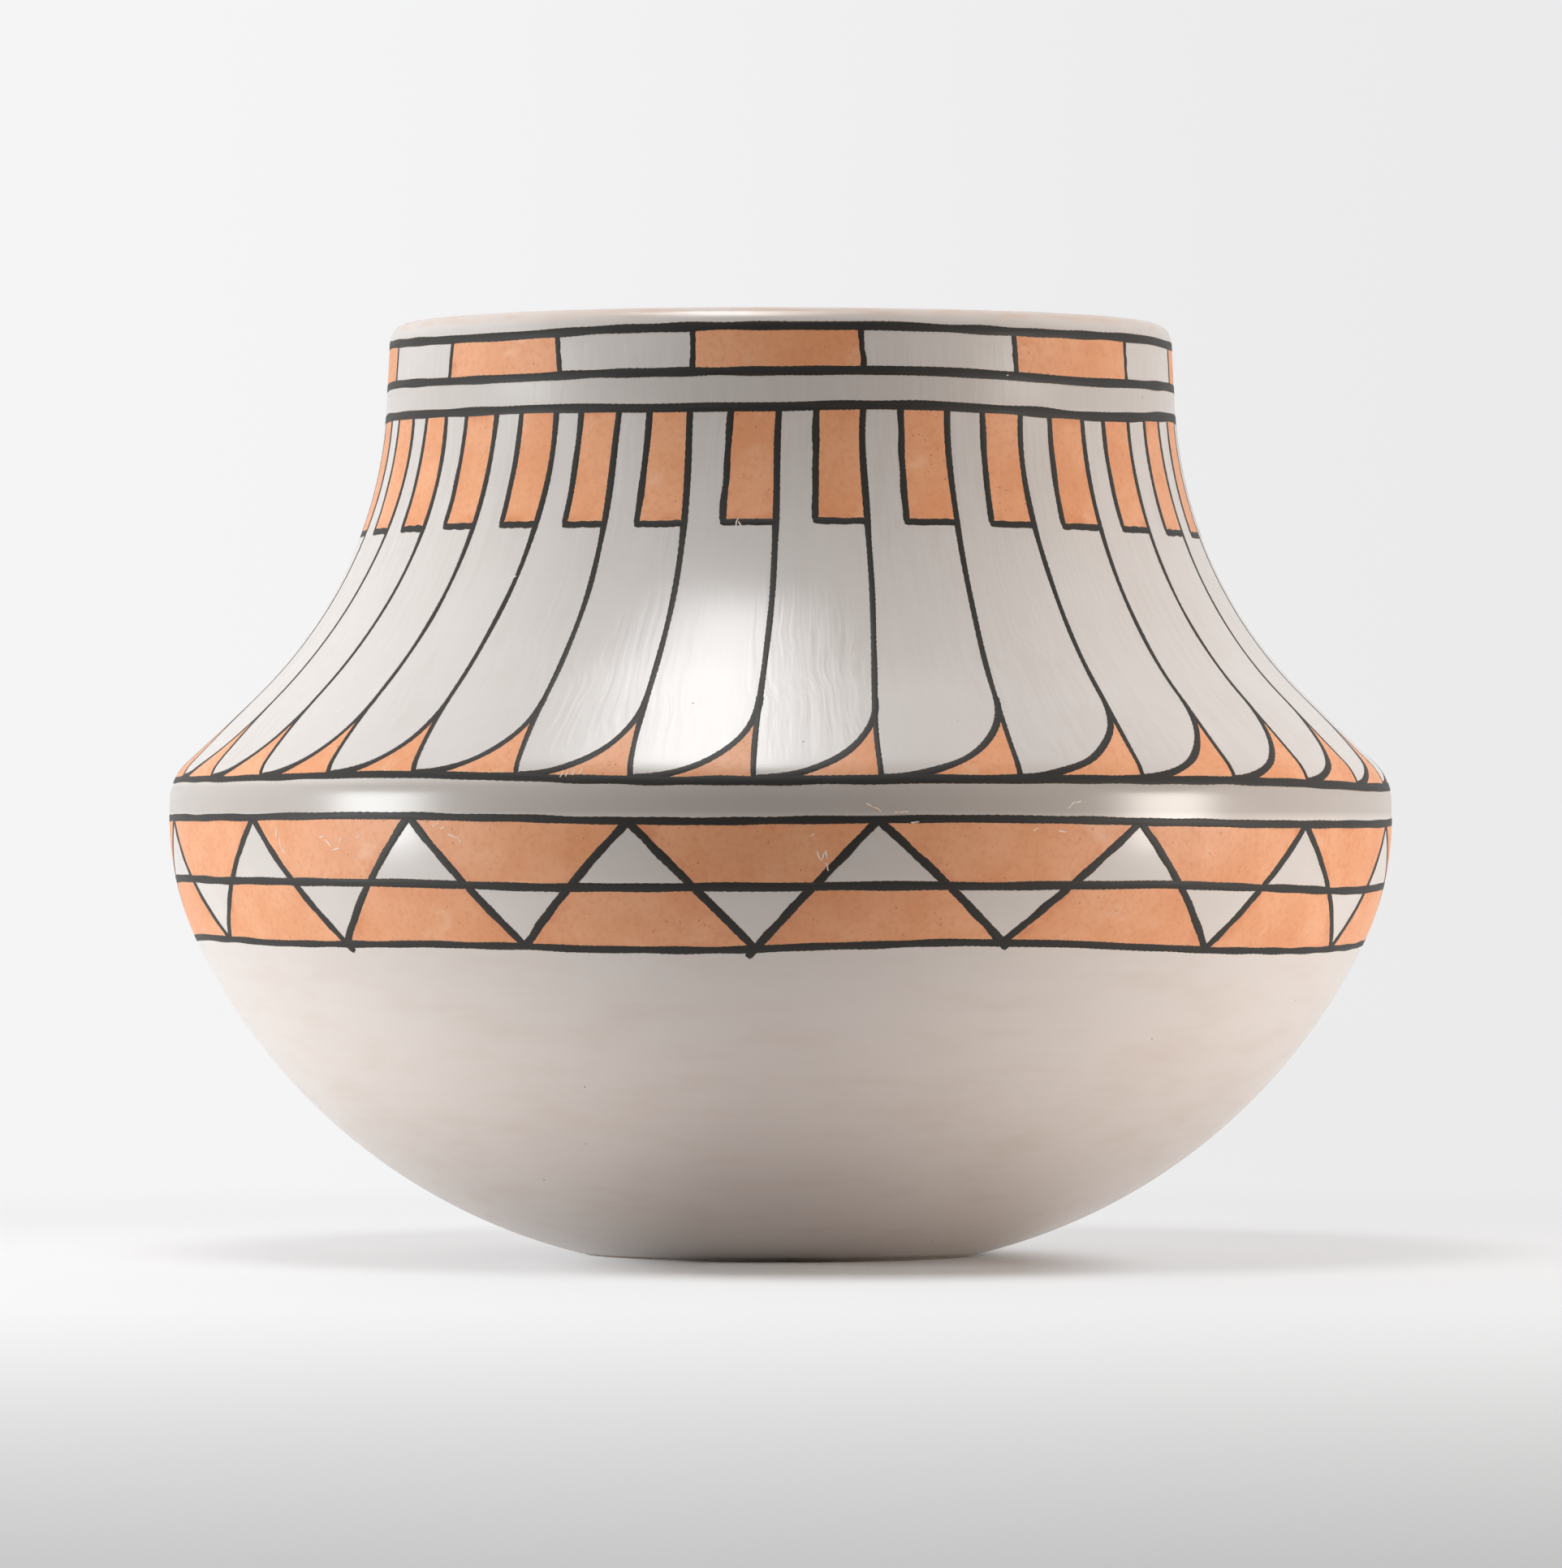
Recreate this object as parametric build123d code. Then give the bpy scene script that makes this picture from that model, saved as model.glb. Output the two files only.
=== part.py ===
from build123d import *
import math
import os

# A hand-built pueblo jar: a moulded base and clay coils, a thin slip coat, and painted bands on the slip.
# Millimetres and degrees. Z is the jar's axis, the table is z = 0, and the front faces -Y.

# Outside shape, measured to the face of the slip, from the table up
base_radius = 41.0
bowl_curve_radius = 120.0
belly_curve_radius = 60.0
belly_radius = 127.0
belly_height = 90.5
shoulder_corner_height = 8.0  # corner of the shoulder, above the widest turn
shoulder_curve_radius = 11.5
shoulder_angle = 45.8  # from upright
shoulder_straight = 20.3  # straight stretch between the two curves
neck_curve_radius = 89.5
neck_angle = 3.0  # from upright
neck_straight = 13.9  # straight stretch above the neck curve

# Clay, slip and paint
wall_thickness = 6.4
inside_corner_radius = 2.0  # tightest curve that scraping leaves inside the shoulder
floor_fill = 4.4  # extra clay in the bottom of the bowl
slip_thickness = 0.4
slip_foot_height = 1.0  # the slip stops just above the table
slip_mouth_depth = 14.0  # how far the slip runs down inside the mouth
paint_thickness = 0.5
layer_clearance = 0.2  # between clay, slip and paint

# Clay pieces: three coils share the bowl and three the shoulder, between these
base_seam_height = 16.0  # top of the moulded base
belly_coil_height = 20.0  # the widest turn is at its middle
neck_coil_height = 19.0
rim_coil_height = 19.0  # up to the middle of the lip
bowl_coils = ["bowl_coil_lower", "bowl_coil_middle", "bowl_coil_upper"]
shoulder_coils = ["shoulder_coil_lower", "shoulder_coil_middle", "shoulder_coil_upper"]

# Painted rings: the width of a line, and the middle of each line below what it follows
ring_width = 2.0
rim_line_depth = 1.2  # upper rim line, below the middle of the lip
rim_band_height = 8.2  # lower rim line, below the upper one
neck_band_height = 7.0  # neck line, below the lower rim line
shoulder_line_depth = 0.9  # shoulder line, below the corner of the shoulder
belt_line_depth = 0.8  # upper belt line, below the widest turn
belt_upper_height = 13.0  # middle belt line, below the upper one
belt_lower_height = 11.9  # lower belt line, below the middle one

# Rim band: an orange block and a bare block in turn, with a line between
rim_pair_count = 8
rim_divider_width = 1.6

# Feather band: each feather has a quill line, an orange block beside its top and an orange tip
feather_count = 31
quill_width = 1.4
quill_drift_angle = 2.5  # how far a quill turns round the jar from top to foot
block_width = 8.2
block_length = 23.9  # from the neck line to the foot of the block
block_line_width = 1.6
tip_height = 13.2  # from the shoulder line to the fork of the quill
tip_gap = 1.5  # between the tail of a tip and the next quill

# Belt: one zigzag line across the upper and the lower row of panels
belt_unit_count = 16
zigzag_width = 1.7

cut_margin = 1.0  # cutting shapes reach this far past the jar


# Side profile: points are (radius, height), and a lean or slope is measured inward from upright
def up_wall(lean):
    """Unit step up a wall that leans inward by this angle."""
    return Vector(-math.sin(math.radians(lean)), math.cos(math.radians(lean)))


def out_of_wall(lean):
    """Unit step straight out of a wall that leans inward by this angle."""
    return Vector(math.cos(math.radians(lean)), math.sin(math.radians(lean)))


def tangent_length(radius, turn_angle):
    """Length that a rounded corner takes from each of its two straight sides."""
    return radius * math.tan(math.radians(turn_angle / 2))


shoulder_tangent = tangent_length(shoulder_curve_radius, shoulder_angle)
neck_tangent = tangent_length(neck_curve_radius, shoulder_angle - neck_angle)
shoulder_side = shoulder_tangent + shoulder_straight + neck_tangent
neck_side = neck_tangent + neck_straight
shoulder_corner = Vector(belly_radius, belly_height + shoulder_corner_height)
neck_corner = shoulder_corner + up_wall(shoulder_angle) * shoulder_side
neck_top = neck_corner + up_wall(neck_angle) * neck_side
belly_center = Vector(belly_radius - belly_curve_radius, belly_height)


def find_bowl_center():
    """Centre of the bowl curve, which passes the base edge and runs smoothly into the belly curve."""
    base_edge = Vector(base_radius, 0)
    across = belly_center - base_edge
    center_spacing = bowl_curve_radius - belly_curve_radius
    along = (bowl_curve_radius**2 - center_spacing**2 + across.length**2) / (2 * across.length)
    aside = math.sqrt(bowl_curve_radius**2 - along**2)
    unit = across.normalized()
    return base_edge + unit * along + Vector(-unit.Y, unit.X) * aside


bowl_center = find_bowl_center()
center_step = belly_center - bowl_center
bowl_join = math.degrees(math.atan2(center_step.Y, center_step.X))


def inset_corner(corner, lean_below, lean_above, inset):
    """Corner between two straight walls after both move inward by the inset."""
    half_turn = math.radians((lean_above - lean_below) / 2)
    return corner - out_of_wall((lean_below + lean_above) / 2) * (inset / math.cos(half_turn))


def neck_end(inset):
    """Top of the neck at this inset, beside the middle of the lip."""
    return neck_top - out_of_wall(neck_angle) * inset


def outline(inset, foot_height):
    """Edges of the profile, moved inward by the inset, from the foot height up to the lip."""
    bowl_radius = bowl_curve_radius - inset
    foot_angle = math.degrees(math.asin((foot_height - bowl_center.Y) / bowl_radius))
    bowl = CenterArc(bowl_center, bowl_radius, foot_angle, bowl_join - foot_angle)
    belly = CenterArc(belly_center, belly_curve_radius - inset, bowl_join, -bowl_join)
    upper = FilletPolyline(
        belly @ 1,
        inset_corner(shoulder_corner, 0, shoulder_angle, inset),
        inset_corner(neck_corner, shoulder_angle, neck_angle, inset),
        neck_end(inset),
        radius=[max(shoulder_curve_radius - inset, inside_corner_radius), neck_curve_radius + inset],
    )
    return [bowl, belly, *upper.edges()]


def lip(outer_inset, inner_inset):
    """Half round over the top of the neck between two insets."""
    outer = neck_end(outer_inset)
    inner = neck_end(inner_inset)
    top = (outer + inner) / 2 + up_wall(neck_angle) * ((inner_inset - outer_inset) / 2)
    return ThreePointArc(outer, top, inner)


def foot_of(edges):
    """Lowest end of an outline."""
    return edges[0] @ 0


def section(edges):
    """Face inside a closed chain of edges."""
    return make_face(Wire.combine(edges)[0])


def layer(outer_inset, inner_inset, foot_height):
    """Section of the skin between two insets, from the foot height up to the lip."""
    outer = outline(outer_inset, foot_height)
    inner = outline(inner_inset, foot_height)
    foot = Line(foot_of(outer), foot_of(inner))
    top = Line(neck_end(outer_inset), neck_end(inner_inset))
    return section([*outer, *inner, foot, top])


outer_reach = belly_radius + layer_clearance + paint_thickness + cut_margin


def band(face, low, high):
    """The part of a section between two heights."""
    return face & Pos(0, (low + high) / 2) * Rectangle(2 * outer_reach, high - low)


def turn(face, sweep=360.0):
    """Section turned about the jar's axis, with a part turn centred on the front."""
    solid = revolve(Plane.XZ * face, Axis.Z, sweep)
    return solid if sweep == 360.0 else Rot(0, 0, -90 - sweep / 2) * solid


def copies(solids, count):
    """The same solids set out evenly round the jar."""
    return [Rot(0, 0, 360 * i / count) * solid for i in range(count) for solid in solids]


# Clay wall: the moulded base and the coils above it
clay_outside = slip_thickness + layer_clearance
clay_inside = clay_outside + wall_thickness
base_edge_height = clay_outside
lip_height = neck_top.Y
above_lip = lip_height + clay_inside
floor_height = bowl_center.Y - (bowl_curve_radius - clay_inside) + floor_fill


def clay_section():
    """Half section of the whole clay wall with its flat floor and base, upright at the base edge."""
    outside = outline(clay_outside, base_edge_height)
    inside = outline(clay_inside, floor_height)
    base_edge = foot_of(outside)
    base = Polyline(foot_of(inside), (0, floor_height), (0, 0), (base_edge.X, 0), base_edge)
    return section([*outside, lip(clay_outside, clay_inside), *inside, *base.edges()])


def spaced_seams(names, low, high):
    """Lower seams of coils that share the wall evenly between two heights."""
    return {name: low + (high - low) * i / len(names) for i, name in enumerate(names)}


def clay_pieces():
    """Moulded base and coils, each on the level seam of the one below."""
    clay = clay_section()
    belly_seam = belly_height - belly_coil_height / 2
    rim_seam = lip_height - rim_coil_height
    neck_seam = rim_seam - neck_coil_height
    seams = {
        "moulded_base": -cut_margin,
        **spaced_seams(bowl_coils, base_seam_height, belly_seam),
        "belly_coil": belly_seam,
        **spaced_seams(shoulder_coils, belly_seam + belly_coil_height, neck_seam),
        "neck_coil": neck_seam,
        "rim_coil": rim_seam,
    }
    upper_seams = [*seams.values(), above_lip][1:]
    return {
        name: turn(band(clay, seam, upper_seam)).solids()
        for (name, seam), upper_seam in zip(seams.items(), upper_seams)
    }


# Slip: a skin over the outside and the lip that ends a little way down the mouth
def slip_piece():
    mouth_under = clay_inside + layer_clearance
    mouth_face = mouth_under + slip_thickness
    outside = layer(0, slip_thickness, slip_foot_height)
    over_lip = section(
        [
            lip(0, mouth_face),
            lip(slip_thickness, mouth_under),
            Line(neck_end(0), neck_end(slip_thickness)),
            Line(neck_end(mouth_under), neck_end(mouth_face)),
        ]
    )
    mouth = band(layer(mouth_under, mouth_face, floor_height), lip_height - slip_mouth_depth, above_lip)
    return {"slip_coat": turn(outside + over_lip + mouth).solids()}


# Paint: a film on the slip, cut to its shapes
film = layer(-layer_clearance - paint_thickness, -layer_clearance, slip_foot_height)
half_ring = ring_width / 2
rim_upper = lip_height - rim_line_depth
rim_lower = rim_upper - rim_band_height
neck_ring = rim_lower - neck_band_height
shoulder_ring = shoulder_corner.Y - shoulder_line_depth
belt_upper = belly_height - belt_line_depth
belt_middle = belt_upper - belt_upper_height
belt_lower = belt_middle - belt_lower_height


def ring_film(height):
    """Section of the ring that is painted at this height."""
    return band(film, height - half_ring, height + half_ring)


def film_between(lower_ring, upper_ring):
    """Section of the film between the facing edges of two rings."""
    return band(film, lower_ring + half_ring, upper_ring - half_ring)


def radius_at(height):
    """Outside radius of the ring that is painted at this height."""
    return ring_film(height).bounding_box().max.X


def prism(shape):
    """A shape drawn on the front view, carried from the axis out through the front of the jar."""
    return extrude(Plane.XZ * shape, outer_reach, dir=(0, -1, 0))


def rings():
    heights = {
        "rim_line_upper": rim_upper,
        "rim_line_lower": rim_lower,
        "neck_line": neck_ring,
        "shoulder_line": shoulder_ring,
        "belt_line_upper": belt_upper,
        "belt_line_middle": belt_middle,
        "belt_line_lower": belt_lower,
    }
    return {ring_name: turn(ring_film(height)).solids() for ring_name, height in heights.items()}


# Rim band
def rim_band():
    rim_film = film_between(rim_lower, rim_upper)
    block_pitch = 180 / rim_pair_count
    divider_sweep = math.degrees(rim_divider_width / radius_at(rim_lower))
    block = turn(rim_film, block_pitch - divider_sweep)
    divider = Rot(0, 0, block_pitch / 2) * turn(rim_film, divider_sweep)
    return {
        "rim_blocks": copies(block.solids(), rim_pair_count),
        "rim_dividers": copies(divider.solids(), 2 * rim_pair_count),
    }


# Feather band, drawn on the front view for one feather, with x to the right and y as the height
feather_top = neck_ring - half_ring
feather_foot = shoulder_ring + half_ring
block_foot = neck_ring - block_length
fork_height = shoulder_ring + tip_height
half_quill = quill_width / 2
half_drift = math.radians(quill_drift_angle / 2)
quill_top_x = radius_at(neck_ring) * math.sin(half_drift)
quill_foot_x = -radius_at(shoulder_ring) * math.sin(half_drift)
feather_pitch = 360 / feather_count
foot_pitch = 2 * radius_at(shoulder_ring) * math.sin(math.radians(feather_pitch / 2))
tip_reach = foot_pitch - quill_width - tip_gap


def quill_x(height):
    """Middle of the quill line at this height."""
    share = (height - feather_foot) / (feather_top - feather_foot)
    return quill_foot_x + (quill_top_x - quill_foot_x) * share


def beside_quill(left, right, low, high):
    """Strip between two distances from the quill line and between two heights."""
    return Polygon(
        (quill_x(low) + left, low),
        (quill_x(low) + right, low),
        (quill_x(high) + right, high),
        (quill_x(high) + left, high),
        align=None,
    )


def tip_ellipse(offset):
    """Ellipse that the rounded feather end follows, grown by the offset."""
    center = Pos(quill_x(fork_height) - tip_reach, fork_height)
    return center * Ellipse(tip_reach + offset, tip_height + offset)


def feather_shapes():
    """Line drawing, orange block and orange tip of one feather."""
    block_right = -half_quill
    block_left = block_right - block_width
    line_left = block_left - block_line_width
    line_top = block_foot + block_line_width
    quill = beside_quill(-half_quill, half_quill, feather_foot, feather_top)
    block_edge = beside_quill(line_left, block_left, block_foot, feather_top)
    block_base = beside_quill(line_left, 0, block_foot, line_top)
    tip_line = tip_ellipse(half_quill) - tip_ellipse(-half_quill)
    tip_line &= beside_quill(-tip_reach, 0, feather_foot, fork_height)
    tip = beside_quill(-tip_reach, -half_quill, feather_foot, fork_height)
    return {
        "feather_outlines": quill + block_edge + block_base + tip_line,
        "feather_blocks": beside_quill(block_left, block_right, line_top, feather_top),
        "feather_tips": tip - tip_ellipse(half_quill),
    }


def feather_band():
    feather_film = turn(film_between(shoulder_ring, neck_ring), 4 * feather_pitch)
    return {
        shape_name: copies((feather_film & prism(shape)).solids(), feather_count)
        for shape_name, shape in feather_shapes().items()
    }


# Belt, drawn on the front view for one unit of the zigzag, with the upper point at the middle
belt_pitch = 360 / belt_unit_count


def zigzag_stroke(side):
    """Slanting line from the upper point at the middle to the next lower point on this side."""
    foot_x = side * radius_at(belt_lower) * math.sin(math.radians(belt_pitch / 2))
    drop = belt_upper - belt_lower
    half_level = zigzag_width / 2 * math.hypot(foot_x, drop) / drop
    return Polygon(
        (foot_x - half_level, belt_lower),
        (foot_x + half_level, belt_lower),
        (half_level, belt_upper),
        (-half_level, belt_upper),
        align=None,
    )


def front_piece(solids):
    """The solid nearest the middle of the front."""
    return min(solids, key=lambda solid: abs(solid.center().X))


def belt_band():
    rising = prism(zigzag_stroke(-1))
    falling = prism(zigzag_stroke(1))
    half_turn = Rot(0, 0, belt_pitch / 2)
    point_up = rising + falling
    point_down = half_turn * rising + half_turn.inverse() * falling
    upper_film = turn(film_between(belt_middle, belt_upper), belt_pitch)
    lower_film = turn(film_between(belt_lower, belt_middle), belt_pitch)
    upper_panel = front_piece((upper_film - point_down).solids())
    lower_panel = front_piece((lower_film - point_up).solids())
    lower_points = (lower_film & point_down).solids()
    return {
        "belt_zigzag_upper": copies((upper_film & point_up).solids(), belt_unit_count),
        "belt_zigzag_lower": copies([half_turn * point for point in lower_points], belt_unit_count),
        "belt_panels_upper": copies([half_turn * upper_panel], belt_unit_count),
        "belt_panels_lower": copies([lower_panel], belt_unit_count),
    }


os.makedirs("parts", exist_ok=True)
for group in (clay_pieces(), slip_piece(), rings(), rim_band(), feather_band(), belt_band()):
    for node_name, solids in group.items():
        export_step(Compound(children=list(solids)), f"parts/{node_name}.step")
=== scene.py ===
import math

import bmesh
import bpy
import numpy as np
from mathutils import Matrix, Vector


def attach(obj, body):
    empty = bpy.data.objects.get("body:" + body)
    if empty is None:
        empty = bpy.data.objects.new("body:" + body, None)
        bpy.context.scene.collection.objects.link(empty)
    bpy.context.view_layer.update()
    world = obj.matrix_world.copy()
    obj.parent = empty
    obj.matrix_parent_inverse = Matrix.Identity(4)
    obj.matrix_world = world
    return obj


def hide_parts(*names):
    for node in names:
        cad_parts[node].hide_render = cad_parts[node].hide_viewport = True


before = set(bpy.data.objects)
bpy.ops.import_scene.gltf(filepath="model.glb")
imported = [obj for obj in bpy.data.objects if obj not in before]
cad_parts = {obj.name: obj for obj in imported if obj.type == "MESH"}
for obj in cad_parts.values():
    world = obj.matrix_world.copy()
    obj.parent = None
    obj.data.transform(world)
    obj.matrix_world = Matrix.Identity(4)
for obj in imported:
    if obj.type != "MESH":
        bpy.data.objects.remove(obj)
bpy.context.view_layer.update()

# The looks of a hand-built pueblo jar: clay coils, a burnished slip and painted bands.
# The jar's sizes are in millimetres and degrees, and its meshes are made in metres. Materials, stage,
# lamps and camera are in metres. An angle round the jar is measured from the front, which faces -Y,
# and grows to the right.
MM = 0.001

# Outside shape, as in the part's source
base_radius = 41.0
bowl_curve_radius = 120.0
belly_curve_radius = 60.0
belly_radius = 127.0
belly_height = 90.5
shoulder_corner_height = 8.0
shoulder_curve_radius = 11.5
shoulder_angle = 45.8
shoulder_straight = 20.3
neck_curve_radius = 89.5
neck_angle = 3.0
neck_straight = 13.9

# Clay, slip and their pieces, as in the part's source
wall_thickness = 6.4
floor_fill = 4.4
slip_thickness = 0.4
slip_foot_height = 0.4  # lower than the solid's, as the slip looks from outside
slip_mouth_depth = 14.0
layer_clearance = 0.2
base_seam_height = 16.0
belly_coil_height = 20.0
neck_coil_height = 19.0
rim_coil_height = 19.0
clay_outside = slip_thickness + layer_clearance
clay_inside = clay_outside + wall_thickness
mouth_under = clay_inside + layer_clearance
mouth_face = mouth_under + slip_thickness

# Errors of the hand that built the jar
roundness_error = 0.14
wall_waves = ((1.0, 2, 0.6, 90), (0.6, 3, 2.1, -60))  # share, waves in a turn, phase and climb
lip_dip = 0.22
lip_dip_share = 0.5  # of the dip, the same all round
lip_waves = ((0.3, 2, 1.0), (0.2, 5, 0.0))  # share of the dip, waves in a turn and phase
lip_dip_start = 6.0  # below the top of the neck
lip_dip_reach = 9.0  # height over which the dip grows
coil_swell = 0.45  # how far the middle of a coil stands proud inside
finger_depth = 0.25
fingers_round = 46  # finger marks round the inside of a coil
mouth_edge_error = 1.1  # of the slip's lower edge inside the mouth
mouth_edge_waves = 22

# Fineness of the meshes
round_steps = 360  # round the jar, for clay and slip
profile_step = 2.2
profile_turn = 5.0  # most degrees between two points of a curve
hidden_step = 6.0  # on faces that nothing shows
stroke_step = 0.45
patch_step = 1.3

# Paint films, measured out from the face of the slip
film_sink = 0.06  # a film's underside lies this far inside the slip
orange_lift = 0.03
line_lift = 0.05
ring_lift = 0.07
scuff_lift = 0.09

# Errors of the hand that painted it
path_error = 0.035
width_error = 0.05
edge_error = 0.032
path_wave = 26.0  # length of a wave of each kind
width_wave = 18.0
edge_wave = 1.3

# Painted rings: heights read every 20 degrees across the front, from left to right
reading_start = -80
reading_pitch = 20
ring_readings = {
    "rim_line_upper": (188.3, 187.9, 187.9, 188.7, 189.0, 189.0, 188.4, 188.5, 188.2),
    "rim_line_lower": (179.7, 179.4, 179.3, 179.7, 179.9, 180.0, 179.2, 179.0, 179.4),
    "neck_line": (173.1, 172.9, 172.8, 172.6, 172.7, 173.1, 172.2, 172.2, 173.1),
    "shoulder_line": (98.4, 98.4, 99.0, 98.1, 97.7, 98.0, 97.9, 97.2, 96.8),
    "belt_line_upper": (90.5, 90.5, 90.8, 90.0, 89.8, 90.1, 89.4, 89.1, 89.4),
    "belt_line_middle": (78.0, 77.7, 77.5, 76.7, 76.9, 77.0, 77.0, 75.8, 76.2),
    "belt_line_lower": (65.9, 65.4, 65.3, 64.7, 64.8, 65.8, 64.4, 63.6, 64.4),
}
block_foot_readings = (149.3, 149.3, 149.5, 149.2, 149.5, 149.7, 149.3, 149.0, 148.8)

# Ring widths at 60 degrees left, in front and at 60 degrees right
width_angle = 60
ring_widths = {
    "rim_line_upper": (1.8, 1.9, 1.85),
    "rim_line_lower": (1.7, 1.95, 1.9),
    "neck_line": (1.8, 1.95, 2.05),
    "shoulder_line": (1.45, 2.1, 1.9),
    "belt_line_upper": (1.5, 1.65, 1.65),
    "belt_line_middle": (1.65, 1.9, 1.7),
    "belt_line_lower": (1.5, 1.75, 1.55),
}

# Rim band, read across the front: the lines between the blocks, the first with orange at its left
rim_divider_angles = (-75.3, -55.2, -33.3, -12.5, 11.5, 35.4, 59.5, 79.3)
rim_divider_count = 16
rim_divider_width = 1.3
rim_divider_tilt = 0.35

# Feather band, read across the front. Each row gives the quill at the neck line, at the block's
# foot, at its waist, at its fork and at its foot, then the top and foot of the block's other line
feather_readings = (
    (-77.0, -78.3, -80.5, -80.2, -78.0, -83.0, -84.0),
    (-66.1, -67.2, -69.4, -69.2, -67.1, -72.3, -73.0),
    (-55.8, -56.2, -58.0, -58.4, -56.4, -61.3, -62.2),
    (-44.2, -45.3, -46.8, -47.3, -46.0, -50.7, -51.3),
    (-33.3, -34.3, -36.1, -36.6, -35.4, -39.4, -40.2),
    (-23.2, -23.9, -24.5, -25.0, -24.5, -29.1, -29.8),
    (-12.8, -12.8, -13.3, -13.9, -13.5, -18.6, -19.3),
    (-0.2, -0.7, -1.4, -2.3, -2.4, -7.0, -7.7),
    (11.6, 11.4, 10.7, 9.3, 9.0, 5.0, 4.5),
    (23.9, 23.8, 23.3, 22.3, 21.9, 17.0, 16.7),
    (35.9, 35.6, 35.8, 35.1, 34.6, 29.5, 29.0),
    (47.8, 47.7, 47.2, 46.3, 45.9, 41.2, 40.7),
    (59.3, 59.1, 58.7, 57.9, 57.2, 52.6, 52.6),
    (70.3, 70.5, 69.7, 68.7, 68.3, 64.6, 64.3),
    (81.8, 81.5, 80.5, 79.3, 79.0, 75.6, 75.1),
)
feather_count = 31
feather_jitter = 0.35
waist_height = 128.0
fork_height = 110.8
curve_start_height = 114.5  # where the line of the rounded end leaves the quill
curve_start_jitter = 0.4
tail_rise = 0.35  # the tail of a tip meets the next quill this far above the shoulder line
tip_roundness_left = 2.1  # 2 is a quarter ellipse, and less is flatter
tip_roundness_right = 1.75
quill_top_width = 1.5  # beside the block
quill_width = 1.22
quill_narrowing = 4.0  # length over which the quill narrows below the block
tip_line_width = 1.4
tail_width = 1.8
block_line_width = 1.5
block_foot_width = 1.55
block_foot_overrun = 0.3  # past the foot of the block's other line

# Belt, read across the front: upper points of the zigzag, and the lower points between them with
# how far the falling and the rising stroke run past the lower ring
belt_upper_points = (-79.7, -56.9, -35.5, -13.7, 8.6, 34.0, 56.3, 78.8)
belt_lower_points = (-67.1, -45.5, -24.5, -2.4, 20.9, 44.3, 67.8)
falling_overrun = (0.0, 1.5, 0.0, 0.0, 1.2, 0.0, 0.0)
rising_overrun = (0.0, 0.0, 0.0, 1.7, 0.0, 0.0, 0.0)
belt_unit_count = 16
belt_jitter = 0.5
zigzag_width = 1.8

# Scuffs where the paint is scraped to the slip: angle, height, slant from level, and length
scuff_width = 0.3
scuff_marks = (
    (-20.0, 98.9, 60, 1.3), (-19.5, 99.2, 70, 1.5), (-18.9, 99.3, 75, 1.2), (-18.2, 99.5, 65, 1.3),
    (2.8, 87.0, 40, 0.8), (3.3, 83.0, 112, 2.0), (3.7, 82.7, 70, 1.7), (4.0, 83.2, 105, 1.6),
    (4.1, 80.8, 110, 1.7), (8.2, 92.4, -28, 3.4), (10.7, 91.5, 2, 3.0), (11.9, 89.5, 4, 1.7),
    (23.2, 88.1, 20, 1.2), (25.8, 87.7, -8, 1.8), (26.7, 92.9, 40, 2.0), (27.4, 93.5, 15, 1.4),
    (-52.9, 87.6, 80, 1.8), (-52.4, 85.4, 105, 2.3), (-52.0, 83.9, 120, 1.5), (-46.2, 86.7, 15, 1.6),
    (-45.4, 85.4, 140, 2.2), (-44.4, 84.2, 10, 1.8), (-43.8, 85.9, 60, 1.2), (-41.5, 86.6, 30, 1.1),
    (-32.5, 89.0, 20, 1.6), (-31.7, 88.5, 25, 1.2), (-30.7, 86.8, -15, 2.3), (-30.0, 86.1, -50, 1.4),
    (-5.8, 149.4, 75, 1.6), (-5.4, 149.1, 120, 1.1), (-35.6, 138.6, 35, 1.4), (33.9, 179.6, 0, 0.5),
)

# Camera and picture, from the photograph's perspective
picture_width = 1924
picture_height = 1932
camera_distance = 2.117
camera_height = 0.0876
focal_pixels = 12537
eye_level_pixel = 1025
sensor_size = 36.0


# Side profile: points are (radius, height), and a lean is measured inward from upright
def up_wall(lean):
    """Unit step up a wall that leans inward by this angle."""
    return np.array([-math.sin(math.radians(lean)), math.cos(math.radians(lean))])


def out_of_wall(lean):
    """Unit step straight out of a wall that leans inward by this angle."""
    return np.array([math.cos(math.radians(lean)), math.sin(math.radians(lean))])


def joined(*rows):
    """Rows of points or values, one after another."""
    return np.concatenate(rows)


def tangent_length(radius, turn_angle):
    """Length that a rounded corner takes from each of its two straight sides."""
    return radius * math.tan(math.radians(turn_angle / 2))


shoulder_tangent = tangent_length(shoulder_curve_radius, shoulder_angle)
neck_tangent = tangent_length(neck_curve_radius, shoulder_angle - neck_angle)
shoulder_corner = np.array([belly_radius, belly_height + shoulder_corner_height])
shoulder_side = shoulder_tangent + shoulder_straight + neck_tangent
neck_corner = shoulder_corner + up_wall(shoulder_angle) * shoulder_side
neck_curve_end = neck_corner + up_wall(neck_angle) * neck_tangent
neck_top = neck_curve_end + up_wall(neck_angle) * neck_straight
belly_center = np.array([belly_radius - belly_curve_radius, belly_height])
shoulder_center = shoulder_corner - [shoulder_curve_radius, shoulder_tangent]
neck_center = neck_curve_end + out_of_wall(neck_angle) * neck_curve_radius
lip_height = neck_top[1]


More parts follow.
